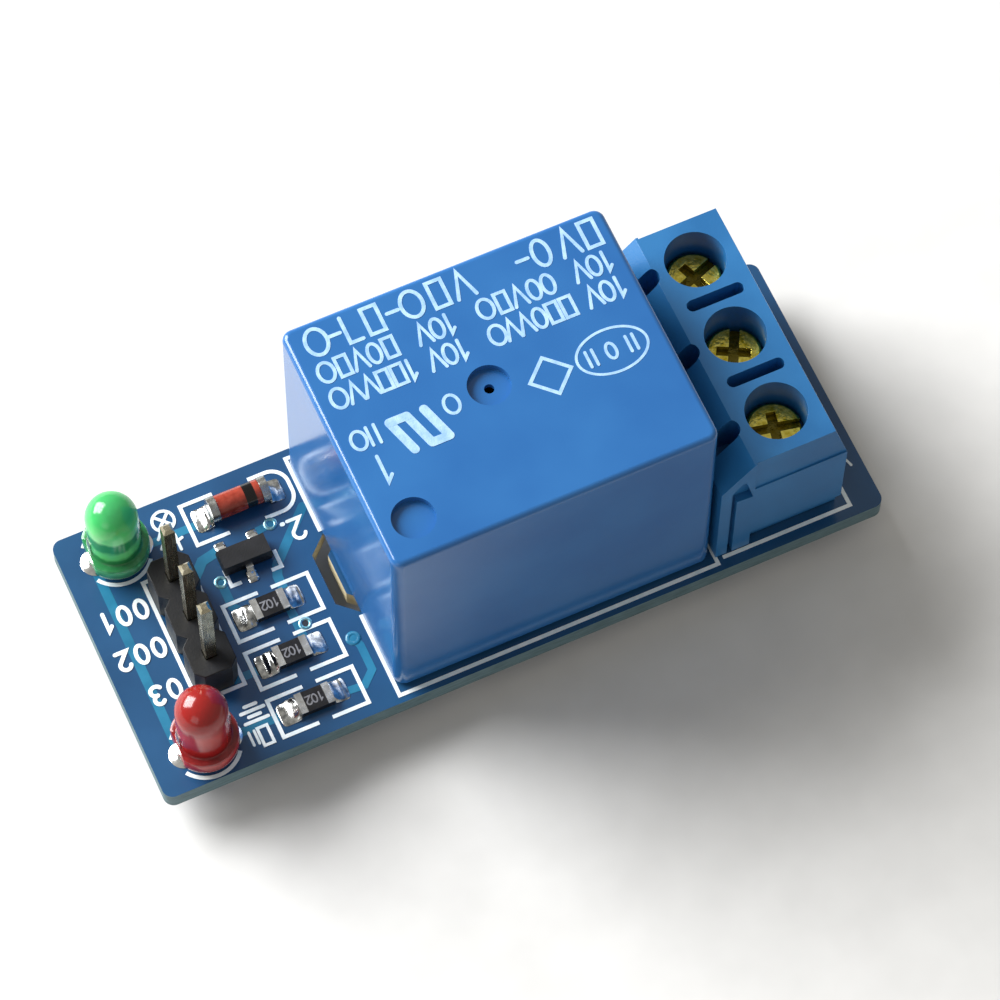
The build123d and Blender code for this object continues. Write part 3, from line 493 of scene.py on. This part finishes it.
def closed_stroke(line, radius, low, high):
    """The same bar along a closed line: every corner is mitred, and the last row is the first again."""
    ahead = np.roll(line, -1, axis=0) - line
    ahead /= np.linalg.norm(ahead, axis=1, keepdims=True)
    before = np.roll(ahead, 1, axis=0)
    middle = before + ahead
    middle /= np.linalg.norm(middle, axis=1, keepdims=True)
    mitre = radius / np.maximum((middle * before).sum(axis=1), 0.4)
    side = np.stack((-middle[:, 1], middle[:, 0]), axis=-1) * mitre[:, None]
    levels = ((line + side, low), (line + side, high), (line - side, high), (line - side, low))
    ring = np.stack([np.column_stack((edge, np.full(len(edge), z))) for edge, z in levels], axis=1)
    return np.concatenate((ring, ring[:1]))


def layered(forms, step_mm=0.0015, layers=7):
    """Raises each form's top by a hair more than the last one's, so that tops that cross don't coincide."""
    for count, form in enumerate(forms):
        top = form[..., 2].max()
        form[..., 2] = np.where(form[..., 2] > top - 1e-6, top + step_mm * (count % layers), form[..., 2])
    return forms


def arc(centre, radii, start, end, count=16):
    """Points on an ellipse about centre, from one angle to another in degrees."""
    angle = np.radians(np.linspace(start, end, count))
    return np.column_stack((centre[0] + radii[0] * np.cos(angle), centre[1] + radii[1] * np.sin(angle)))


# %% [markdown]
# ## Copying a CAD node to smooth it
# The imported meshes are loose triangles, which is right for a drawing but shows every facet of a round.
# A copy with its points merged can be shaded smooth below an angle, and a small bevel catches the light
# on edges that a mould always rounds. The copy stands for the node and stays exactly where it was.


# %% A smoothed copy of a node
def smoothed(node, material, bevel_mm=0.0, sharp=35):
    """A merged copy of a node's mesh with its sharp edges slightly rounded.

    Each point's normal is the mean of its faces' normals, weighted by their areas, so flats stay flat."""
    source = nodes[node].data
    points = np.empty(len(source.vertices) * 3)
    source.vertices.foreach_get("co", points)
    corners = np.empty(len(source.loops), int)
    source.loops.foreach_get("vertex_index", corners)
    mesh = bpy.data.meshes.new(node + "_finish")
    mesh.from_pydata(points.reshape(-1, 3).tolist(), [], corners.reshape(-1, 3).tolist())
    work = bmesh.new()
    work.from_mesh(mesh)
    bmesh.ops.remove_doubles(work, verts=work.verts, dist=0.001 * MM)
    work.to_mesh(mesh)
    work.free()
    mesh.shade_smooth()
    mesh.set_sharp_from_angle(angle=math.radians(sharp))
    piece = bpy.data.objects.new(node + "_finish", mesh)
    bpy.context.scene.collection.objects.link(piece)
    piece.data.materials.clear()
    piece.data.materials.append(material)
    if bevel_mm:
        bevel = piece.modifiers.new("edge", "BEVEL")
        bevel.width = bevel_mm * MM
        bevel.segments = 2
        bevel.limit_method = "ANGLE"
        bevel.angle_limit = math.radians(sharp)
        bevel.use_clamp_overlap = True
    weigh = piece.modifiers.new("flats", "WEIGHTED_NORMAL")
    weigh.keep_sharp = True
    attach(piece, nodes[node]["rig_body"])
    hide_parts(node)
    return piece


# %% [markdown]
# ## Finishes on the CAD nodes
# Most nodes already have the right shape, so they only take a material. A table keeps the pairs
# together, and a loop assigns them.

# %% Give every node its finish
finishes = {
    "circuit_board": board_mask, "printed_outlines": white_ink,
    "relay_cover": relay_case, "relay_base": relay_foot, "relay_yoke": core_iron,
    "common_pin": strip_tin, "coil_core": core_iron, "coil_bobbin": bobbin_nylon,
    "coil_winding": enamel_wire, "coil_pins": strip_tin, "relay_armature": core_iron,
    "contact_spring": spring_bronze, "moving_contact": contact_silver,
    "closed_contact_blade": strip_tin, "closed_contact_button": contact_silver,
    "open_contact_blade": strip_tin, "open_contact_button": contact_silver,
    "terminal_housing": block_nylon, "header_pins": pin_plate, "header_body": header_nylon,
    "green_lamp_lens": green_epoxy, "red_lamp_lens": red_epoxy,
    "diode_glass": diode_tube, "diode_plugs": dumet, "diode_die": contact_silver,
    "diode_caps": cap_tin_painted_dark, "transistor_body": package_epoxy, "transistor_legs": lead_tin,
    "pin_solder": solder_tin, "surface_solder": solder_tin,
}
for lamp in ("green", "red"):
    for lead in ("anode", "cathode"):
        finishes[f"{lamp}_lamp_{lead}"] = lead_tin
for number in (1, 2, 3):
    finishes[f"clamp_screw_{number}"] = screw_zinc
    finishes[f"wire_clamp_{number}"] = clamp_nickel
    finishes[f"terminal_strip_{number}"] = strip_tin
    finishes[f"resistor_{number}_chip"] = glaze
    finishes[f"resistor_{number}_caps"] = lead_tin
for node, finish in finishes.items():
    nodes[node].data.materials.clear()
    nodes[node].data.materials.append(finish)
print("finished nodes", len(finishes), "left", sorted(set(nodes) - set(finishes)))

# %% [markdown]
# ## Moulded housings
# The relay case, the terminal block and the header come out of steel moulds, and no edge of a moulding
# is perfectly sharp. A bevel of a few hundredths of a millimetre gives the edges of the block and the header
# their thin bright line, and the relay case is only shaded smooth.

# %% Smooth the moulded housings
relay_skin = smoothed("relay_cover", relay_case, sharp=50)
block_skin = smoothed("terminal_housing", block_nylon, bevel_mm=0.05)
header_skin = smoothed("header_body", header_nylon, bevel_mm=0.05)
print("copies", relay_skin.name, block_skin.name, header_skin.name)

# %% [markdown]
# ## Rounds that need no facets
# Screws, glass and end caps are turned or drawn, so they have no flats. Their CAD solids are already
# fine enough in outline, and only the shading has to run round them.

# %% Smooth the turned and drawn parts
turned = [smoothed(f"clamp_screw_{number}", screw_zinc, bevel_mm=0.05) for number in (1, 2, 3)]
for node, finish, slot in (("diode_glass", diode_tube, "diode_glass"), ("diode_caps", cap_tin_painted_dark, "end_cap")):
    turned.append(smoothed(node, finish, bevel_mm=0.04))
print("turned copies", len(turned))

# %% [markdown]
# ## Copper under the mask
# Tracks are copper foil 0.035 mm thick, and the mask dips over their edges, so each shows as a low step
# with a greener shade. A track is a flat bar carried along a line, its underside sunk into the board.

# %% Copper tracks on top and below
deck = 3.2
board_foot = 2.0
top_tracks = (
    (0.55, [(-19.97, 6.3), (-19.97, -6.3)]),
    (0.60, [(-16.5, 2.66), (-15.5, 2.8), (-14.4, 3.95), (-13.2, 4.2)]),
    (0.50, [(-13.95, 2.33), (-13.95, 0.7), (-13.5, 0.1)]),
    (0.55, [(-8.0, 4.75), (-10.7, 2.05), (-10.95, 1.4), (-10.95, 0.1)]),
    (0.45, [(-10.05, 4.5), (-10.9, 4.4), (-11.25, 4.2)]),
    (0.50, [(-11.1, -0.6), (-11.1, -3.0)]),
    (0.45, [(-8.65, -3.76), (-8.45, -4.3), (-8.45, -5.9), (-9.2, -6.6), (-10.6, -6.5)]),
    (0.50, [(-16.5, -2.5), (-15.5, -3.4), (-13.6, -3.4)]),
    (0.50, [(-17.2, -6.4), (-13.6, -6.4)]),
    (0.50, [(-17.2, 6.1), (-13.5, 6.1)]),
)
under_tracks = (
    (2.6, [(8.55, 6.15), (11.2, 6.15), (13.85, 5.13)]),
    (2.6, [(8.55, -5.85), (11.2, -5.85), (13.85, -5.03)]),
    (2.6, [(-5.55, 0.15), (9.0, 0.15), (13.85, 0.05)]),
    (0.8, [(-3.65, 6.15), (-8.6, 6.15), (-10.05, 4.5)]),
    (0.8, [(-3.65, -5.85), (-7.6, -5.85), (-8.65, -3.76)]),
    (0.6, [(-19.79, 6.33), (-19.79, -6.3)]),
    (0.6, [(-16.52, 2.66), (-14.6, 2.66), (-13.95, 2.33)]),
    (0.6, [(-16.52, 0.12), (-12.6, 0.12), (-10.68, -1.87)]),
    (0.6, [(-17.25, -6.3), (-16.52, -4.6), (-16.52, -2.42)]),
    (0.6, [(-17.25, 6.33), (-16.52, 4.9), (-16.52, 2.66)]),
)
step = 0.010
tracks = grid_mesh(
    "copper_tracks",
    layered([stroke(line, width, deck - 0.05, deck + step) for width, line in top_tracks])
    + [stroke(line, width, board_foot - 0.02 - 0.002 * n, board_foot + 0.05)
       for n, (width, line) in enumerate(under_tracks)],
    copper_mask,
)
print("tracks", len(top_tracks), "on top,", len(under_tracks), "below, faces", len(tracks.data.polygons))

# %% [markdown]
# ## Vias
# A via is a plated hole between the two copper layers: a narrow ring with a dark middle, which is a disc of
# painted shade for the inside of the hole. One of the four is tented, so mask runs over it and only a shallow
# ring shows.

# %% Vias
open_vias = ((-10.05, 4.5), (-13.95, 2.33), (-10.68, -1.87))
tented_vias = ((-8.65, -3.76),)
rim = [(0.20, -0.05), (0.20, 0.035), (0.25, 0.055), (0.33, 0.055), (0.39, 0.03), (0.39, -0.05), (0.20, -0.05)]
# plug is the dark disc in each open via, a painted shade for the inside of the hole.
plug = [(0.0, -0.05), (0.205, -0.05), (0.205, 0.012), (0.0, 0.008)]
low_rim = [(0.20, -0.05), (0.22, 0.04), (0.30, 0.06), (0.42, 0.04), (0.46, -0.05), (0.20, -0.05)]
via_rings = grid_mesh("via_rings", [lathe(rim, (x, y, deck), 32) for x, y in open_vias],
                      via_copper, sharp=60)
via_tents = grid_mesh("via_tents", [lathe(low_rim, (x, y, deck), 32) for x, y in tented_vias],
                      copper_mask, sharp=60)
via_holes = grid_mesh("via_holes", [lathe(plug, (x, y, deck), 24) for x, y in open_vias],
                      via_hole_shade)
print("vias", len(open_vias), "open,", len(tented_vias), "tented")

# %% [markdown]
# ## Solder in the plated holes
# Wave solder climbs each lead below the board in a hollow cone, and fills the hole to a low bright ring
# on top. The side of a real cone is a meniscus, so its radius falls as the square of what is left of
# its height. The nodes of the model have straight cones of the same reach.


# %% Solder joints round the leads
def joint(spot, pad, lead, height):
    """The cone under the board and the ring on it: radius = lead + (pad - lead) (1 - t) squared."""
    t = np.linspace(0, 1, 9)
    below = [(0.0, -height)] + [(lead + (pad - lead) * (1 - s) ** 2, -height * s) for s in t[::-1]]
    below += [(pad, 0.05), (0.0, 0.05)]
    above = [(0.0, -0.05), (pad, -0.05), (pad, 0.035), (pad * 0.93, 0.06), (lead + 0.14, 0.08),
             (lead + 0.04, 0.20), (0.0, 0.20)]
    return lathe(below, (*spot, board_foot), 28), lathe(above, (*spot, deck), 28)


header_spots = [(-16.52, 2.66), (-16.52, 0.12), (-16.52, -2.42)]
lamp_spots = [(-19.79, 6.33), (-17.25, 6.33), (-19.79, -6.3), (-17.25, -6.3)]
load_spots = [(-5.55, 0.15), (8.55, 6.15), (8.55, -5.85), (13.85, 5.13), (13.85, 0.05), (13.85, -5.03)]
coil_spots = [(-3.65, 6.15), (-3.65, -5.85)]
joint_sizes = (
    (load_spots, 1.2, 0.55, 1.1), (coil_spots, 1.2, 0.36, 1.0),
    (header_spots, 0.85, 0.36, 0.8), (lamp_spots, 0.85, 0.30, 0.8),
)
solder_forms = [
    form for spots, pad, lead, height in joint_sizes for spot in spots
    for form in joint(spot, pad, lead, height)
]
hole_solder = grid_mesh("hole_solder", solder_forms, solder_tin, sharp=50)
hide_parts("pin_solder")

# %% [markdown]
# ## Reflowed solder under the small parts
# Paste that melts under a chip wets its pad and climbs the metal end: high at the part, hollow further
# out, thin at the rim, and never the same twice. Each heap is a row of low arches along its length, and
# a fixed seed gives each its own lumps.


# %% Heaps of solder on the pads
def heap(foot, ahead, length, half, high, seed, lumps=0.22):
    """A heap from the part outwards: arches y = w cos a, z = h (sin a) ** 0.6 along the way u.

    The height h falls as high (1 - u) squared to a thin film, and the half width w closes over the last
    part as the fourth root of 1 - v to the fourth, which is a square with round corners. Both are scaled
    by a smooth random line along u."""
    chance = np.random.default_rng(seed)
    u = np.linspace(0, 1, 19)
    rough = np.interp(u, np.linspace(0, 1, 6), chance.uniform(1 - lumps, 1 + lumps, 6))
    drift = np.interp(u, np.linspace(0, 1, 5), chance.uniform(-0.16, 0.16, 5))
    closing = np.clip(1 - (np.clip(u - 0.6, 0, 1) / 0.4) ** 4, 0, 1) ** 0.25
    opening = np.sqrt(np.clip(1 - (1 - np.clip(u / 0.12, 0, 1)) ** 2, 0, 1))
    wide = half * closing * opening * (0.92 + 0.08 * rough)
    tall = (0.07 + high * (1 - u) ** 2) * rough * closing ** 0.5
    a = np.linspace(0, np.pi, 21)
    rib = 1 + 0.05 * np.sin(2 * a[None, :] + 5 * u[:, None] + seed)
    across = wide[:, None] * np.cos(a) + (drift * closing)[:, None] * np.sin(a)
    up = tall[:, None] * np.sin(a) ** 0.6 * rib
    across = np.hstack((across, -wide[:, None], wide[:, None]))
    up = np.hstack((up, np.full((len(u), 2), -0.04)))
    along = np.broadcast_to(u[:, None] * length, across.shape)
    ahead = np.array(ahead, float)
    side = np.array((-ahead[1], ahead[0]))
    spot = np.array(foot) + along[..., None] * ahead + across[..., None] * side
    return np.dstack((spot, up + deck))


resistor_x = -12.08
resistor_ys = (-0.17, -3.27, -6.37)
diode_x, diode_y = -11.2, 6.28
transistor_x, transistor_y = -12.2, 3.1
heaps = []
for row, y in enumerate(resistor_ys):
    heaps.append(heap((resistor_x - 0.93, y - 0.05), (-1, 0), 1.25, 0.72, 0.36, 3 + row, 0.35))
    heaps.append(heap((resistor_x + 0.93, y + 0.05), (1, 0), 1.05, 0.68, 0.28, 13 + row, 0.30))
heaps.append(heap((diode_x - 1.6, diode_y), (-1, 0), 1.15, 0.74, 0.55, 31, 0.3))
heaps.append(heap((diode_x + 1.6, diode_y), (1, 0), 1.05, 0.70, 0.50, 32, 0.3))
for leg_x, side in ((0.0, -1), (0.95, 1), (-0.95, 1)):
    heaps.append(heap((transistor_x + leg_x, transistor_y + side * 0.78), (0, side), 0.75, 0.33, 0.16, 40))
flat_solder = grid_mesh("flat_solder", heaps, reflow_tin, sharp=70)
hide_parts("surface_solder")
print("heaps", len(heaps), "faces", len(flat_solder.data.polygons))

# %% [markdown]
# ## Lamp lenses
# A lamp is a lead frame dipped in a mould of epoxy: a barrel, a half-round dome and a flange with one
# flat, which marks the short lead. A lathe profile gives all of it, with a small round where the barrel
# meets the flange, and cutting the grid off at a plane makes the flat.


# %% Lamp lenses
def lens_profile(radius=1.47, flange=1.9, flange_height=1.0, height=lamp_height):
    """Half the section of a lens: under side, flange, a small root round, the barrel and the dome.

    The dome is r = R cos a, z = height - R + R sin a."""
    a = np.linspace(0, np.pi / 2, 17)
    dome = np.column_stack((radius * np.cos(a), height - radius + radius * np.sin(a)))
    root = np.linspace(0, np.pi / 2, 5)
    fillet = np.column_stack((
        radius + 0.12 * (1 - np.sin(root)), flange_height + 0.12 * (1 - np.cos(root)),
    ))
    foot = [(0.0, 0.0), (flange - 0.08, 0.0), (flange - 0.02, 0.03), (flange, 0.10),
            (flange, flange_height - 0.10), (flange - 0.03, flange_height - 0.03),
            (flange - 0.10, flange_height)]
    wall = [(radius, z) for z in (1.5, 2.2, 2.9, 3.5)]
    return np.vstack((foot, fillet, wall, dome))


lamp_x, lamp_flat = -18.52, 1.6
for colour, lamp_y, finish in (("green", 6.33, green_epoxy), ("red", -6.3, red_epoxy)):
    form = lathe(lens_profile(), (lamp_x, lamp_y, lamp_seat), 96)
    form[..., 0] = np.maximum(form[..., 0], lamp_x - lamp_flat)
    lens = grid_mesh(f"{colour}_lens_cast", [form], finish, sharp=40)
    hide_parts(f"{colour}_lamp_lens")
    print(lens.name, "faces", len(lens.data.polygons))

# %% [markdown]
# ## Signs for the prints
# Plain numbers and simple shapes stand in for lettering. Each is a few strokes in a box one unit high,
# so a row of them needs only a height, a place for each sign and a line width.


# %% Strokes of the signs
def loop(wide, high):
    """A closed ellipse of this width and height."""
    return arc((0, 0), (wide / 2, high / 2), 90, 450, 29)


signs = {
    "0": [loop(0.56, 1.0)],
    "1": [[(-0.17, 0.28), (0.03, 0.5), (0.03, -0.5)]],
    "2": [np.vstack((arc((0, 0.22), (0.27, 0.28), 165, -25, 12), [(-0.28, -0.5), (0.30, -0.5)]))],
    "3": [arc((0, 0.25), (0.24, 0.25), 150, -90, 12), arc((0, -0.24), (0.29, 0.26), 90, -150, 12)],
    "ring": [loop(0.74, 1.0)], "dash": [[(-0.2, 0), (0.2, 0)]], "bar": [[(0, 0.5), (0, -0.5)]],
    "pair": [[(-0.2, 0.5), (-0.2, -0.5)], [(0.2, 0.5), (0.2, -0.5)]],
    "box": [[(-0.26, 0.5), (0.26, 0.5), (0.26, -0.5), (-0.26, -0.5), (-0.26, 0.5)]],
    "tent": [[(-0.32, 0.5), (0, -0.5), (0.32, 0.5)]],
    "hook": [[(-0.2, 0.5), (0.25, 0.5), (0.25, -0.5)]],
    "lamp": [loop(1.0, 1.0), [(-0.33, -0.33), (0.33, 0.33)], [(-0.33, 0.33), (0.33, -0.33)]],
    "cell": [[(-0.5, 0.36), (0.5, 0.36)], [(-0.25, 0.12), (0.25, 0.12)], [(-0.5, -0.12), (0.5, -0.12)],
             [(-0.25, -0.36), (0.25, -0.36)]],
}


def sign(name, centre, high, width, low, top):
    """A sign's strokes at centre, scaled to its height, and turned half round to face the back."""
    return [stroke(np.array(line, float) * -high + centre, width, low, top) for line in signs[name]]


print("signs", sorted(signs))

# %% [markdown]
# ## Ink on the board
# White ink is printed through a screen, about 0.03 mm thick, over the mask. The outlines are a node of
# the model. The numbers of the three pins and the signs for lamp and supply are drawn here.

# %% Ink signs on the board
ink_low, ink_top = deck - 0.02, deck + 0.032
marks = []
for number, y in ((1, 2.66), (2, 0.12), (3, -2.52)):
    places = (-20.65, -19.60, -18.60) if number < 3 else (-19.75, -18.75)
    for place, name in zip(places, (str(number), "0", "0") if number < 3 else ("3", "0")):
        marks += sign(name, (place, y), 1.1, 0.23, ink_low, ink_top)
marks += sign("lamp", (-15.42, 7.1), 1.25, 0.17, ink_low, ink_top)
marks += [stroke(line, 0.17, ink_low, ink_top) for line in (
    [(-16.1, 6.15), (-15.75, 6.6)], [(-16.15, 5.55), (-15.9, 5.85)],
    [(-15.15, 6.1), (-15.15, 5.1)], [(-15.5, 5.55), (-14.85, 5.75)],
)]
marks += sign("cell", (-15.4, -5.6), 1.35, 0.2, ink_low, ink_top)
marks += sign("box", (-15.3, -7.1), 1.1, 0.17, ink_low, ink_top)
marks += sign("pair", (-15.95, -7.0), 0.8, 0.15, ink_low, ink_top)
marks += sign("2", (-8.78, 3.62), 1.25, 0.2, ink_low, ink_top)
marks += [stroke([(-9.48, 4.2), (-9.42, 4.2)], 0.24, ink_low, ink_top)]
marks += sign("tent", (20.75, -5.1), 0.8, 0.15, ink_low, ink_top)
marks += sign("bar", (20.75, -3.9), 0.5, 0.15, ink_low, ink_top)
board_ink = grid_mesh("board_signs", layered(marks), white_ink)
print("board signs", len(marks), "strokes, faces", len(board_ink.data.polygons))

# %% [markdown]
# ## Print on the relay case
# Pad printing lays a film of pale ink on the case: two sizes of sign in three rows, a bold mark, a
# diamond, an oval and a number. The real rows of ratings are plain shapes here, with the same rhythm.

# %% Print on the relay case
case_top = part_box("relay_cover")[1].z / MM
print_low, print_top = case_top - 0.03, case_top + 0.012
rows = (
    (6.40, 1.62, 0.215, (
        (10.05, "box"), (8.72, "tent"), (7.15, "0"), (6.05, "dash"), (2.50, "tent"), (1.12, "box"),
        (-0.42, "ring"), (-1.55, "dash"), (-2.68, "box"), (-3.90, "hook"), (-4.92, "dash"), (-5.95, "ring"),
    )),
    (4.52, 1.20, 0.19, (
        (10.12, "1"), (9.42, "0"), (8.60, "tent"), (6.70, "0"), (5.88, "0"), (4.98, "tent"), (4.05, "box"),
        (3.05, "ring"), (0.90, "1"), (0.22, "0"), (-0.60, "tent"), (-2.52, "box"), (-3.42, "0"),
        (-4.30, "tent"), (-5.22, "box"), (-6.20, "ring"),
    )),
    (2.84, 1.20, 0.19, (
        (10.12, "1"), (9.42, "0"), (8.60, "tent"), (7.12, "box"), (6.28, "box"), (5.45, "0"), (4.62, "tent"),
        (3.82, "tent"), (2.98, "ring"), (0.90, "1"), (0.22, "0"), (-0.60, "tent"), (-2.05, "1"),
        (-2.75, "box"), (-3.58, "box"), (-4.42, "tent"), (-5.28, "tent"), (-6.20, "ring"),
    )),
)
prints = []
for y, high, width, line in rows:
    for x, name in line:
        prints += sign(name, (x, y), high, width, print_low, print_top)
prints += sign("ring", (-6.25, 0.12), 1.12, 0.18, print_low, print_top)
prints += sign("pair", (-5.42, 0.12), 1.12, 0.18, print_low, print_top)
prints += sign("ring", (-0.92, 0.08), 1.12, 0.18, print_low, print_top)
prints += sign("1", (-5.72, -1.92), 1.62, 0.2, print_low, print_top)
prints += [
    stroke([(x, 0.42), (x + 0.62, -1.55)], 0.5, print_low, print_top) for x in (-4.38, -3.38, -2.38)
]
prints += [stroke([(-4.38, 0.42), (-3.38, 0.42)], 0.5, print_low, print_top)]
prints += [stroke([(-2.76, -1.55), (-1.76, -1.55)], 0.5, print_low, print_top)]
diamond = [(4.55, 0.62), (5.75, -0.52), (4.55, -1.68), (3.35, -0.52), (4.55, 0.62)]
prints += [stroke(diamond, 0.2, print_low, print_top)]
prints += [stroke(arc((8.15, -0.5), (2.02, 1.3), 0, 360, 61), 0.15, print_low, print_top)]
for x, name in ((9.3, "pair"), (8.1, "0"), (6.95, "pair")):
    prints += sign(name, (x, -0.5), 0.95, 0.17, print_low, print_top)
relay_ink = grid_mesh("relay_print", layered(prints), pale_ink)
print("relay print", len(prints), "strokes, faces", len(relay_ink.data.polygons))

# %% [markdown]
# ## Numbers on the resistors
# A chip resistor carries its value as three plain digits in grey glaze. They are so small that they are
# only just there, which is what makes a row of chips look like resistors.

# %% Numbers on the resistors
chip_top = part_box("resistor_1_chip")[1].z / MM
code_low, code_top = chip_top - 0.02, chip_top + 0.01
code_strokes = []
resistor_code = "102"
for y in resistor_ys:
    for place, name in zip((-0.34, 0.0, 0.34), resistor_code):
        code_strokes += sign(name, (resistor_x - place, y), 0.50, 0.085, code_low, code_top)
code_ink = grid_mesh("resistor_numbers", layered(code_strokes), grey_ink)
print("digits", len(resistor_code) * len(resistor_ys))

# %% [markdown]
# ## Light
# A big soft box stands behind and to the left, away from where the level tops would mirror it into the
# camera, so they keep their colour and the front faces fall off. The pale room fills the rest.

# %% Floor and lights
floor_mesh = bpy.data.meshes.new("floor")
reach = 3.0
floor_mesh.from_pydata([(-reach, -reach, 0), (reach, -reach, 0), (reach, reach, 0), (-reach, reach, 0)],
                       [], [(0, 1, 2, 3)])
floor = bpy.data.objects.new("floor", floor_mesh)
bpy.context.scene.collection.objects.link(floor)
floor_paper, floor_tree, floor_place = blank("floor, pale paper")
floor_noise = add(floor_tree, "ShaderNodeTexNoise", {"Scale": per(3.0)},
                  {"Vector": floor_place.outputs["Object"]})
floor_shade = ramp(floor_tree, floor_noise.outputs["Fac"], ((0.3, "#D2D2D1"), (0.7, "#D7D7D6")))
finish_material(floor_tree, add(floor_tree, "ShaderNodeBsdfPrincipled", {"Roughness": 0.8},
                                {"Base Color": floor_shade.outputs["Color"]}))
floor.data.materials.append(floor_paper)


def soft_box(name, spot_mm, size_mm, power):
    """A square area light at a point in millimetres, aimed at the middle of the board."""
    light = bpy.data.lights.new(name, "AREA")
    light.shape = "SQUARE"
    light.size = size_mm * MM
    light.energy = power
    lamp_object = bpy.data.objects.new(name, light)
    bpy.context.scene.collection.objects.link(lamp_object)
    spot = Vector(spot_mm) * MM
    facing = (spot - aim).to_track_quat("Z", "Y")
    lamp_object.matrix_world = Matrix.Translation(spot) @ facing.to_matrix().to_4x4()
    return lamp_object


key = soft_box("key", spot_mm=(-300, 380, 330), size_mm=420, power=8.9)
fill = soft_box("fill", spot_mm=(-330, -260, 200), size_mm=220, power=0.18)
room = bpy.data.worlds.new("room")
room.use_nodes = True
room.node_tree.nodes["Background"].inputs["Color"].default_value = tint("#F8F4EC")
room.node_tree.nodes["Background"].inputs["Strength"].default_value = 0.40
bpy.context.scene.world = room
bpy.context.scene.view_settings.view_transform = "Standard"
print("lights", key.name, fill.name)
